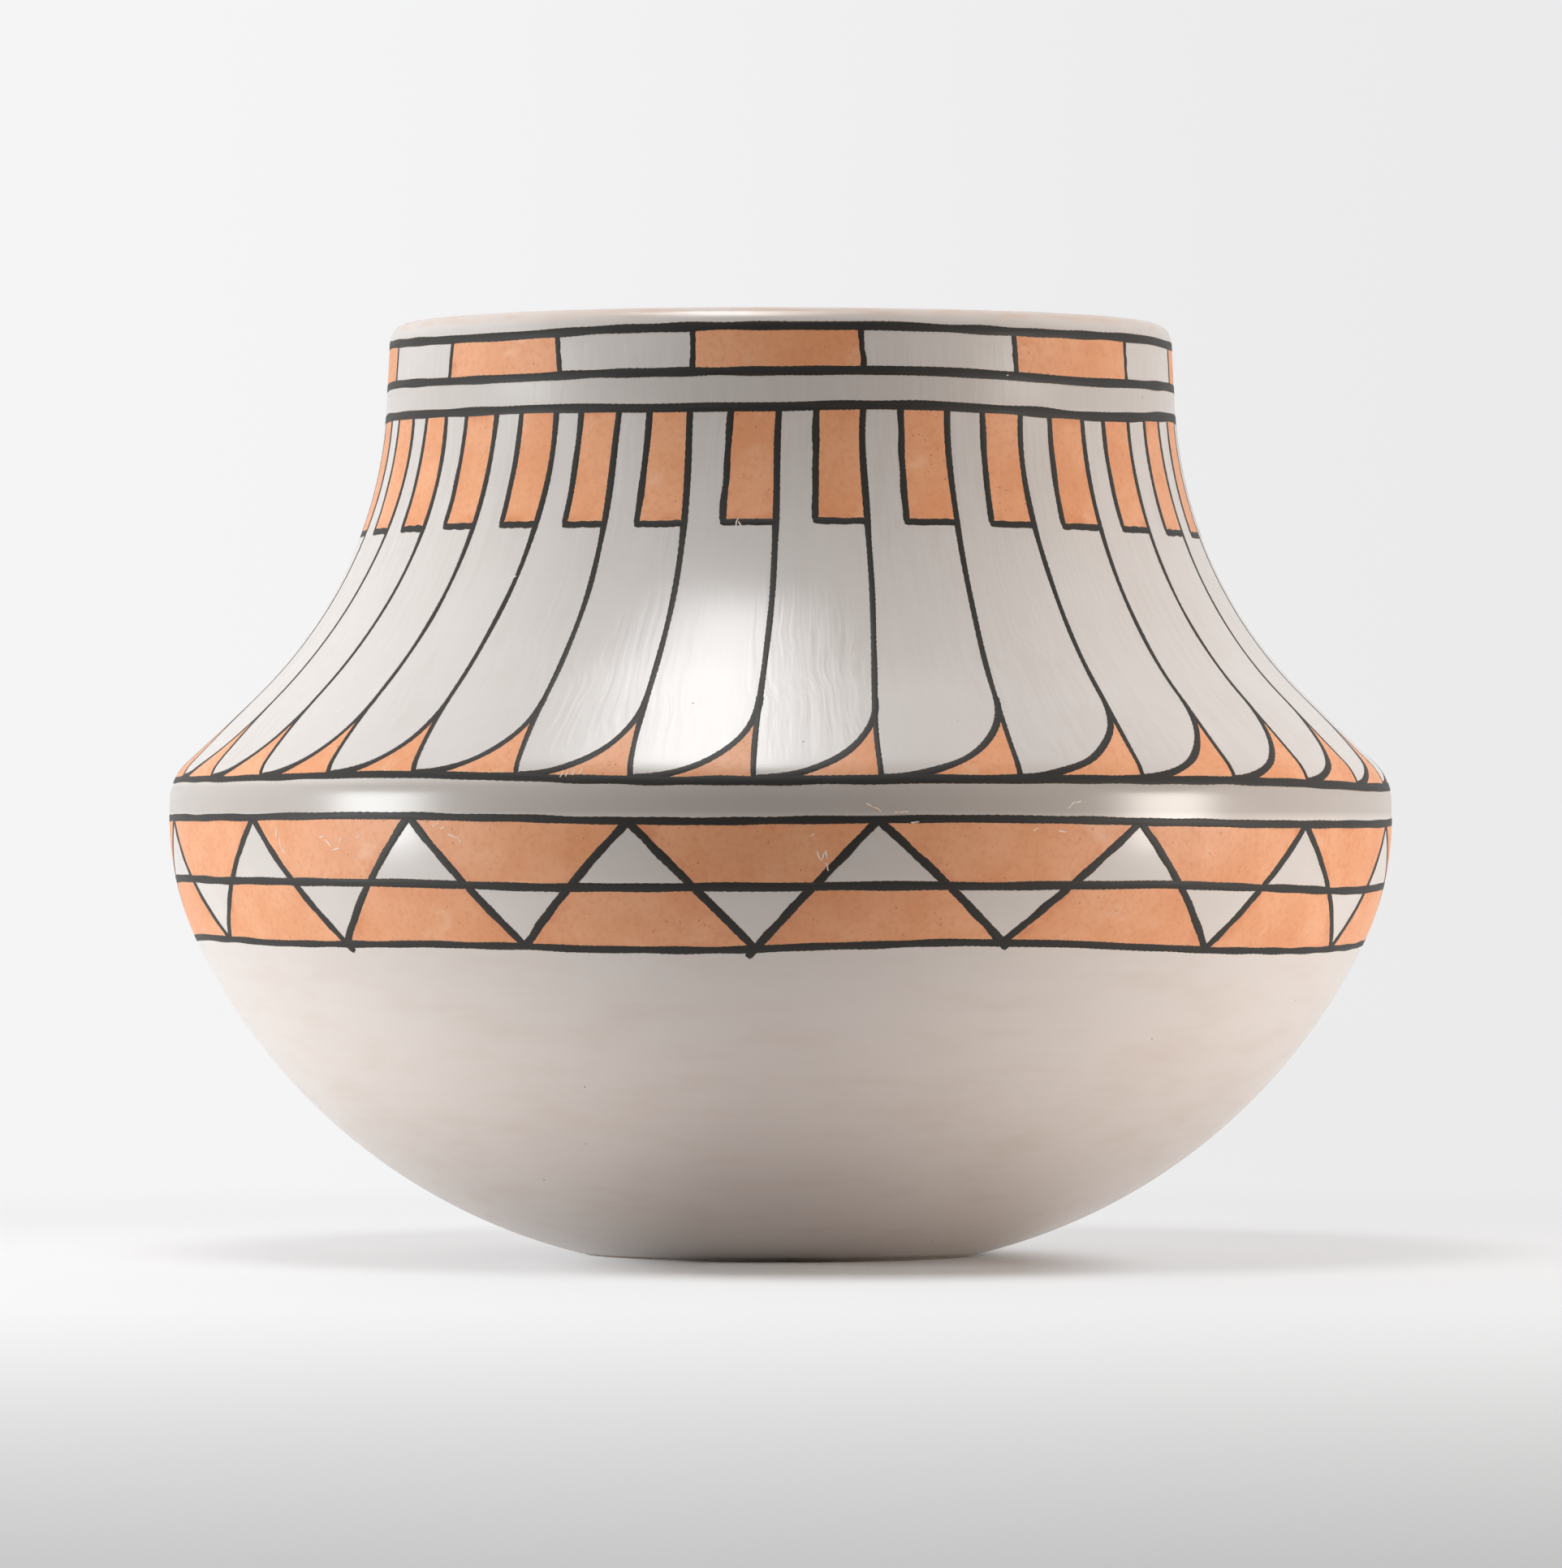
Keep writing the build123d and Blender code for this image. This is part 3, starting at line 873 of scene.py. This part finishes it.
def clay_tube(node, low, high, random):
    """One clay piece, with its coil's swell and finger marks inside."""
    outer = outline(clay_outside, clay_outside)[0]
    inner = outline(clay_inside, floor_height)[0]
    if node == "moulded_base":
        wall = between(outer, clay_outside, high)
        outside = joined([(0, 0), (wall[0, 0], 0)], wall)
        inside = joined(between(inner, floor_height, high)[::-1], [(0, floor_height)])
    elif node == "rim_coil":
        outside = joined(between(outer, low, high), lip(clay_outside, clay_inside)[0][1:-1])
        inside = between(inner, low, neck_end(clay_inside)[1])[::-1]
    else:
        outside = between(outer, low, high)
        inside = between(inner, low, high)[::-1]
    section = joined(outside, inside)
    rise = np.sin(math.pi * np.clip((section[:, 1] - low) / (high - low), 0, 1))
    smooth_points = len(section) if node == "rim_coil" else len(outside)
    rise[:smooth_points] = 0  # under the slip the clay is scraped smooth
    fingers = ripple(turn_angles / 360, fingers_round, random)
    return turned(section, len(section), radial=-(coil_swell + finger_depth * fingers) * rise)


random = np.random.default_rng(seed=9)
for node, (low, high) in clay_seams().items():
    make_piece(f"{node}_clay", [clay_tube(node, low, high, random)], clay, node)


# Paint: brush strokes and filled patches, as closed films on the slip
# A stroke's section goes over its top from edge to edge, and back along its underside
stroke_across = np.array([-1.0, -0.78, 0.0, 0.78, 1.0, 1.0, -1.0])
stroke_rise = np.array([0.2, 0.9, 1.0, 0.9, 0.2])  # share of the lift, over the top
stroke_cell = 60  # steps of a stroke in one cell of the bake's map
blunt_end = 0.2  # a stroke's round end is cut off this share of its half width in
tube_ids = 100  # range of the random number that sets strokes and patches apart
under_share = 0.1  # a patch's underside takes this share of its map cell
under_margin = 0.1


def stroke(angles, heights, width, lift, random, closed=False):
    """Film of paint along a path, with a hand's errors. The width is one value or one for each point."""
    lean = lean_at(heights)
    radii = radius_at(heights)
    if closed:
        run = radii * math.radians(360 / len(angles))
        climb = (np.roll(heights, -1) - np.roll(heights, 1)) / 2 / np.cos(lean)
    else:
        run = np.gradient(np.radians(angles)) * radii
        climb = np.gradient(heights) / np.cos(lean)
    steps = np.hypot(run, climb)
    along = joined([0], np.cumsum(steps[:-1]))
    length = along[-1]
    shares = along / (length + steps[-1])
    half = width / 2 * (1 + width_error * ripple(shares, length / width_wave, random))
    shift = path_error * ripple(shares, length / path_wave, random)
    left = half + edge_error * ripple(shares, length / edge_wave, random)
    right = half + edge_error * ripple(shares, length / edge_wave, random)
    if not closed:
        to_end = np.clip(np.minimum(along, length - along) / half, blunt_end, 1)
        tip = np.sqrt(1 - (1 - to_end) ** 2)
        left = left * tip
        right = right * tip
    reach = np.where(stroke_across > 0, left[:, None], right[:, None]) * stroke_across + shift[:, None]
    film_angles = angles[:, None] - np.degrees(reach * (climb / steps / radii)[:, None])
    film_heights = heights[:, None] + reach * (run / steps * np.cos(lean))[:, None]
    rise = joined(lift * stroke_rise, [-film_sink, -film_sink])
    points = on_jar(film_angles, film_heights, rise)
    brush = np.empty_like(points)
    brush[..., 0] = along[:, None]
    brush[..., 1] = stroke_across
    brush[..., 2] = random.uniform(0, tube_ids)
    return Tube(points, brush, closed, cell_length=stroke_cell)


def along_line(start, end):
    """Angles and heights from one (angle, height) to another, about stroke_step apart."""
    middle_height = (start[1] + end[1]) / 2
    across = math.radians(end[0] - start[0]) * radius_at(middle_height)
    up = (end[1] - start[1]) / math.cos(lean_at(middle_height))
    shares = np.linspace(0, 1, math.ceil(math.hypot(across, up) / stroke_step) + 1)
    return start[0] + (end[0] - start[0]) * shares, start[1] + (end[1] - start[1]) * shares


def patch(angles, heights, random):
    """Film of orange over a grid of angles and heights."""
    top = on_jar(angles, heights, orange_lift)
    bottom = on_jar(angles, heights, -film_sink)
    points = np.concatenate([top, bottom[:, ::-1]], axis=1)
    rows, columns = angles.shape
    across = np.linspace(-1, 1, columns)
    brush = np.empty_like(points)
    brush[..., 0] = np.linspace(-1, 1, rows)[:, None]
    brush[..., 1] = joined(across, across[::-1])
    brush[..., 2] = random.uniform(0, tube_ids)
    shown = np.linspace(0, 1 - under_share, columns)
    hidden = 1 - under_share * np.linspace(1 - under_margin, under_margin, columns)
    return Tube(points, brush, around=joined(shown, hidden, [1.0]))


def grid_between(left, right, low, high):
    """Grid of angles and heights between two sides, by share of height, and two heights, by angle."""
    middle_angle = (left(0.5) + right(0.5)) / 2
    bottom, top = low(middle_angle), high(middle_angle)
    width = math.radians(right(0.5) - left(0.5)) * radius_at((bottom + top) / 2)
    up = np.linspace(0, 1, math.ceil((top - bottom) / patch_step) + 1)[:, None]
    along = np.linspace(0, 1, math.ceil(width / patch_step) + 1)
    angles = left(up) + (right(up) - left(up)) * along
    return angles, low(angles) + (high(angles) - low(angles)) * up


def side_line(low_angle, high_angle):
    """Function that gives the angle of a straight side at a share of its height."""
    return lambda share: low_angle + (high_angle - low_angle) * share


def black_piece(node, strokes, cell_shape):
    make_piece(f"{node}_brushed", strokes, black, node, cell_shape)


def orange_piece(node, patches):
    make_piece(f"{node}_painted", patches, orange, node)


# Rings
random = np.random.default_rng(seed=11)
ring_height = {node: round_wave(readings, random) for node, readings in ring_readings.items()}
block_foot = round_wave(block_foot_readings, random)


def ring_stroke(node):
    """Stroke all round the jar, as thick as it was read at the left, in front and at the right."""
    circumference = 2 * math.pi * radius_at(ring_height[node](0.0))
    angles = np.linspace(-180, 180, round(circumference / stroke_step), endpoint=False)
    left, front, right = ring_widths[node]
    behind = (left + front + right) / 3
    read_at = (-180, -width_angle, 0, width_angle, 180)
    widths = np.interp(angles, read_at, (behind, left, front, right, behind))
    return stroke(angles, ring_height[node](angles), widths, ring_lift, random, closed=True)


for node in ring_readings:
    black_piece(node, [ring_stroke(node)], cell_shape=16)

# Rim band
random = np.random.default_rng(seed=12)
rim_low, rim_high = ring_height["rim_line_lower"], ring_height["rim_line_upper"]
dividers = all_round(rim_divider_angles, rim_divider_count, random, belt_jitter)
tilts = random.uniform(-rim_divider_tilt, rim_divider_tilt, rim_divider_count)


def rim_divider(angle, tilt):
    path = along_line((angle - tilt, rim_low(angle)), (angle + tilt, rim_high(angle)))
    return stroke(*path, rim_divider_width, line_lift, random)


def rim_block(first):
    """Orange between one divider and the next."""
    after = (first + 1) % rim_divider_count
    end = dividers[after] + (360 if after < first else 0)
    left = side_line(dividers[first] - tilts[first], dividers[first] + tilts[first])
    right = side_line(end - tilts[after], end + tilts[after])
    return patch(*grid_between(left, right, rim_low, rim_high), random)


divider_strokes = [rim_divider(angle, tilt) for angle, tilt in zip(dividers, tilts)]
black_piece("rim_dividers", divider_strokes, cell_shape=4)
orange_piece("rim_blocks", [rim_block(i) for i in range(1, rim_divider_count, 2)])

# Feather band
random = np.random.default_rng(seed=13)
neck_line, shoulder_line = ring_height["neck_line"], ring_height["shoulder_line"]
tip_columns = 8
ring_points = 30  # along the shoulder line, under one tip
tip_curve_excess = 1.3  # a rounded end is at most this many times as long as a straight one
quill_degree = 4  # of the smooth curve through a quill's five readings
foot_column = 4  # of the quill's foot in a row of readings


def all_feathers():
    """Rows of readings for every feather: as read in front, and alike behind."""
    front = np.array(feather_readings)
    tops = all_round(front[:, 0], feather_count, random, feather_jitter)
    usual = (front - front[:, :1])[1:-1].mean(axis=0)
    behind = tops[len(front) :, None] + usual
    behind[:, 1:] += random.uniform(-feather_jitter, feather_jitter, behind[:, 1:].shape)
    return joined(front, behind)


def tip_curve(start, tail, roundness):
    """Angles and heights along the rounded feather end, from the quill down to the tail."""
    length = math.hypot(math.radians(start[0] - tail[0]) * radius_at(tail[1]), start[1] - tail[1])
    turn = np.linspace(math.pi / 2, 0, math.ceil(length * tip_curve_excess / stroke_step) + 1)
    across = np.sin(turn) ** (2 / roundness)
    down = np.cos(turn) ** (2 / roundness)
    return tail[0] + (start[0] - tail[0]) * across, start[1] - (start[1] - tail[1]) * down


def tip_patch(end_curve, quill_side, foot, previous_foot):
    """Orange between the rounded end, the quill below it and the shoulder line."""
    ring_angles = np.linspace(foot, previous_foot, ring_points)[1:]
    edge_angles = joined(quill_side[0], ring_angles)
    edge_heights = joined(quill_side[1], shoulder_line(ring_angles))
    end_shares = np.linspace(0, 1, len(end_curve[0]))
    edge_shares = np.linspace(0, 1, len(edge_angles))
    curve_angles = np.interp(edge_shares, end_shares, end_curve[0])[:, None]
    curve_heights = np.interp(edge_shares, end_shares, end_curve[1])[:, None]
    across = np.linspace(0, 1, tip_columns)
    angles = curve_angles + (edge_angles[:, None] - curve_angles) * across
    heights = curve_heights + (edge_heights[:, None] - curve_heights) * across
    return patch(angles[1:-1], heights[1:-1], random)


def paint_feather(reading, previous_foot):
    """Strokes, block patch and tip patch of one feather."""
    top, at_block, waist, fork, foot, line_top, line_foot = reading
    top_height, block_height = neck_line(top), block_foot(at_block)
    foot_height = shoulder_line(foot)
    quill_heights = (top_height, block_height, waist_height, fork_height, foot_height)
    quill_angles = (top, at_block, waist, fork, foot)
    quill = np.polynomial.Polynomial.fit(quill_heights, quill_angles, quill_degree)
    start_height = curve_start_height + random.uniform(-curve_start_jitter, curve_start_jitter)
    tail = (previous_foot, shoulder_line(previous_foot) + tail_rise)
    share = np.clip((fork + width_angle) / (2 * width_angle), 0, 1)
    roundness = tip_roundness_left + (tip_roundness_right - tip_roundness_left) * share
    end_curve = tip_curve((quill(start_height), start_height), tail, roundness)
    end_widths = np.linspace(tip_line_width, tail_width, len(end_curve[0]))
    heights = np.arange(top_height, foot_height, -stroke_step)
    narrow_from = block_height - quill_narrowing
    quill_widths = np.interp(heights, (narrow_from, block_height), (quill_width, quill_top_width))
    lower = np.arange(start_height, foot_height, -stroke_step)
    block_line = along_line((line_top, neck_line(line_top)), (line_foot, block_height))
    block_base = along_line((line_foot - block_foot_overrun, block_height), (at_block, block_height))
    strokes = [
        stroke(quill(heights), heights, quill_widths, line_lift, random),
        stroke(*end_curve, end_widths, line_lift, random),
        stroke(*block_line, block_line_width, line_lift, random),
        stroke(*block_base, block_foot_width, line_lift, random),
    ]

    def beside_quill(share):
        return quill(block_height + (top_height - block_height) * share)

    grid = grid_between(side_line(line_foot, line_top), beside_quill, block_foot, neck_line)
    block = patch(*grid, random)
    tip = tip_patch(end_curve, (quill(lower), lower), foot, previous_foot)
    return strokes, block, tip


def paint_feathers():
    feathers = all_feathers()
    previous_feet = np.roll(feathers[:, foot_column], 1)
    previous_feet[0] -= 360
    painted = [paint_feather(reading, previous) for reading, previous in zip(feathers, previous_feet)]
    outlines = [line for strokes, block, tip in painted for line in strokes]
    black_piece("feather_outlines", outlines, cell_shape=12)
    orange_piece("feather_blocks", [block for strokes, block, tip in painted])
    orange_piece("feather_tips", [tip for strokes, block, tip in painted])


paint_feathers()

# Belt
random = np.random.default_rng(seed=14)
belt_top = ring_height["belt_line_upper"]
belt_middle = ring_height["belt_line_middle"]
belt_low = ring_height["belt_line_lower"]


def next_round(angles):
    """Each angle's neighbour to the right, all round the jar."""
    return np.append(angles[1:], angles[0] + 360)


def middle_crossing(upper_angle, lower_angle):
    """Angle where a slanting line crosses the middle ring."""
    angle = (upper_angle + lower_angle) / 2
    top, low = belt_top(upper_angle), belt_low(lower_angle)
    share = (top - belt_middle(angle)) / (top - low)
    return upper_angle + (lower_angle - upper_angle) * share


def zigzag_strokes(peak, crossing, foot, overrun):
    """Upper and lower stroke of one slanting line, the lower one run past the ring by the overrun."""
    crossing_place = np.array([crossing, belt_middle(crossing)])
    foot_place = np.array([foot, belt_low(foot)])
    stretch = 1 + overrun / (crossing_place[1] - foot_place[1])
    end = crossing_place + (foot_place - crossing_place) * stretch
    upper_path = along_line((peak, belt_top(peak)), crossing_place)
    lower_path = along_line(crossing_place, end)
    return [stroke(*path, zigzag_width, line_lift, random) for path in (upper_path, lower_path)]


def paint_belt():
    peaks = all_round(belt_upper_points, belt_unit_count, random, belt_jitter)
    feet = all_round(belt_lower_points, belt_unit_count, random, belt_jitter)
    next_peaks = next_round(peaks)
    next_feet = next_round(feet)
    falling = np.array([middle_crossing(peak, foot) for peak, foot in zip(peaks, feet)])
    rising = np.array([middle_crossing(peak, foot) for peak, foot in zip(next_peaks, feet)])
    next_falling = next_round(falling)
    no_overrun = np.zeros(belt_unit_count - len(belt_lower_points))
    falling_past = np.append(falling_overrun, no_overrun)
    rising_past = np.append(rising_overrun, no_overrun)
    lines = [zigzag_strokes(*line) for line in zip(peaks, falling, feet, falling_past)]
    lines += [zigzag_strokes(*line) for line in zip(next_peaks, rising, feet, rising_past)]
    panels_upper = []
    panels_lower = []
    for i in range(belt_unit_count):
        left, right = side_line(falling[i], peaks[i]), side_line(rising[i], next_peaks[i])
        panels_upper.append(patch(*grid_between(left, right, belt_middle, belt_top), random))
        left, right = side_line(feet[i], rising[i]), side_line(next_feet[i], next_falling[i])
        panels_lower.append(patch(*grid_between(left, right, belt_low, belt_middle), random))
    black_piece("belt_zigzag_upper", [upper for upper, lower in lines], cell_shape=8)
    black_piece("belt_zigzag_lower", [lower for upper, lower in lines], cell_shape=8)
    orange_piece("belt_panels_upper", panels_upper)
    orange_piece("belt_panels_lower", panels_lower)


paint_belt()

# Scuffs
random = np.random.default_rng(seed=15)


def scuff_stroke(angle, height, slant, length):
    across = math.degrees(length / 2 * math.cos(math.radians(slant)) / radius_at(height))
    up = length / 2 * math.sin(math.radians(slant))
    path = along_line((angle - across, height - up), (angle + across, height + up))
    return stroke(*path, scuff_width, scuff_lift, random)


make_piece("paint_scuffs", [scuff_stroke(*mark) for mark in scuff_marks], scuff, cell_shape=4)


# Stage: a sheet of white paper that rolls down in front and fades into the background behind, with
# painted light lifting its shadows
# Painted shade: the background darkens from left to right, as if less light falls on its right
background_left = linear(245, 245, 246)
background_right_shaded = linear(235, 235, 236)
background_reach = 0.16  # half the width over which the painted shade darkens the background
paper_white = linear(234, 232, 231)
paper_half_width = 2.6
paper_back = 2.6
roll_front = -0.24  # where the paper starts to roll down
roll_radius = 0.16
roll_steps = 24
roll_drop = 0.5
fade_start = 0.15
fade_end = 0.45
side_fade_start = 0.4  # this far to the side the paper is plain all along
side_fade_end = 0.6
shadow_center = (0.015, -0.06, 0)  # the shadow round the foot keeps its full depth here
shadow_start = 0.055
shadow_end = 0.12
shadow_narrowing = 1.8  # it is this much narrower than it is deep
painted_fill_share = 0.62  # painted light: this share of plain background glows over the rest of the paper, lightening the jar's shadow there
roll_painted_fill_share = 0.25  # and where it rolls down
stage_gap = 0.0001


def shaded_background_at(nodes, right):
    """Colour of the background this far to the right of the jar, with painted shade darker to the right.
    """
    share = nodes.ramp(right, (-background_reach, background_reach))
    return nodes.mix(share, background_left, background_right_shaded)


def paper_material():
    """Matt white paper with a faint grain, which shows as plain background far behind the jar and glows
    with painted light that lightens the shadows nearer it.
    """
    shader = Shader("paper", paper_white)
    position = shader.position()
    depth = shader.part(position, "Y")
    behind = shader.ramp(depth, (roll_front, 0.0))
    far = shader.times(shader.ramp(shader.length(position), (fade_start, fade_end)), behind)
    aside = shader.ramp(shader.away(position, "X"), (side_fade_start, side_fade_end))
    from_shadow = shader.vector_math("SUBTRACT", position, shadow_center)
    from_shadow = shader.length(shader.stretched(from_shadow, (shadow_narrowing, 1, 1)))
    roll_top = (roll_front - roll_radius / 2, roll_front)
    # Painted light: a camera and gloss glow lightens the paper's shadows, least close round the foot
    fill = shader.ramp(depth, roll_top, (roll_painted_fill_share, painted_fill_share))
    fill = shader.times(fill, shader.ramp(from_shadow, (shadow_start, shadow_end)))
    plain = shader.blend(shader.math("MAXIMUM", far, aside), fill, 1.0)
    shader.finish(roughness=0.95, bump=shader.noise(position, scale=700), bump_depth=0.00002, gloss=0.1)
    background = shaded_background_at(shader, shader.part(position, "X"))
    glow = shader.out("Emission", "Emission", {"Color": background})
    share = shader.times(plain, shader.seen_by("Camera", "Glossy", "Transmission"))
    surface = shader.mix_shaders(share, shader.surface.outputs["BSDF"], glow)
    shader.feed(shader.tree.nodes["Material Output"].inputs["Surface"], surface)
    return shader.material


def make_paper():
    turns = np.linspace(0, math.pi / 2, roll_steps)
    forward, down = roll_radius * np.sin(turns), roll_radius * (1 - np.cos(turns))
    roll = np.stack([roll_front - forward, -down], axis=-1)
    foot = roll[-1] - [0, roll_drop]
    profile = joined([(paper_back, 0)], roll, [foot])
    points = [(x, y, z - stage_gap) for y, z in profile for x in (-paper_half_width, paper_half_width)]
    faces = [(2 * i, 2 * i + 1, 2 * i + 3, 2 * i + 2) for i in range(len(profile) - 1)]
    mesh = bpy.data.meshes.new("paper")
    mesh.from_pydata(points, [], faces)
    mend_mesh(mesh)
    mesh.materials.append(paper_material())
    add_object("paper", mesh)


make_paper()


# Light: a room that glows from behind, and soft boxes above and beside the jar
room_glow = 1.5
front_glow = 0.07
neutral_light = (1.0, 1.0, 1.0, 1.0)
cool_light = (0.93, 0.98, 1.0)
overhead_light = (0.97, 0.99, 1.0)
warm_light = (1.0, 0.95, 0.89)
overhead_height = 1.0
overhead_front = -0.23
overhead_length = 0.56
overhead_boxes = {  # left edge, width and power
    "overhead_left": (-0.365, 0.13, 1.45),
    "overhead_middle": (-0.235, 0.22, 4.6),
    "overhead_right": (-0.015, 0.14, 1.1),
}
side_boxes = {  # place, width, power and colour
    "left_box": ((-0.60, -0.185, 0.11), 0.21, 2.0, cool_light),
    "right_box": ((0.60, -0.22, 0.11), 0.20, 1.95, warm_light),
}
side_box_height = 0.22
side_target = (0.0, -0.08, 0.09)


def light_room():
    """World that glows from behind, with a backdrop there that the camera and gloss see, painted darker
    to the right.
    """
    world = bpy.data.worlds.new("room")
    bpy.context.scene.world = world
    world.use_nodes = True
    nodes = Nodes(world.node_tree)
    direction = nodes.out("Generated", "TexCoord")
    behind = nodes.math("MAXIMUM", nodes.part(direction, "Y"))
    strength = nodes.math("ADD", nodes.times(behind, room_glow), front_glow)
    room = nodes.out("Background", "Background", {"Color": neutral_light, "Strength": strength})
    background = shaded_background_at(nodes, nodes.times(nodes.part(direction, "X"), camera_distance))
    backdrop = nodes.out("Background", "Background", {"Color": background})
    mirrored = nodes.times(nodes.seen_by("Glossy", "Transmission"), nodes.math("GREATER_THAN", behind))
    seen = nodes.math("MAXIMUM", nodes.seen_by("Camera"), mirrored)
    surface = nodes.mix_shaders(seen, room, backdrop)
    nodes.feed(nodes.tree.nodes["World Output"].inputs["Surface"], surface)


def soft_box(name, place, target, width, height, power, color):
    """Flat lamp that faces its target and isn't seen by the camera."""
    lamp = bpy.data.lights.new(name, "AREA")
    lamp.shape = "RECTANGLE"
    lamp.size = width
    lamp.size_y = height
    lamp.energy = power
    lamp.color = color
    box = add_object(name, lamp)
    box.location = place
    toward = Vector(target) - Vector(place)
    box.rotation_euler = toward.to_track_quat("-Z", "Y").to_euler()
    box.visible_camera = False


light_room()
for name, (left, width, power) in overhead_boxes.items():
    middle = left + width / 2
    place = (middle, overhead_front, overhead_height)
    soft_box(name, place, (middle, overhead_front, 0), width, overhead_length, power, overhead_light)
for name, (place, width, power, color) in side_boxes.items():
    soft_box(name, place, side_target, width, side_box_height, power, color)


def make_camera():
    lens = bpy.data.cameras.new("camera")
    lens.sensor_width = sensor_size
    lens.lens = focal_pixels / max(picture_width, picture_height) * sensor_size
    camera = add_object("camera", lens)
    pitch = math.atan((eye_level_pixel - picture_height / 2) / focal_pixels)
    camera.location = (0, -camera_distance, camera_height)
    camera.rotation_euler = (math.pi / 2 + pitch, 0, 0)
    bpy.context.scene.camera = camera


make_camera()
bpy.context.scene.view_settings.view_transform = "Standard"
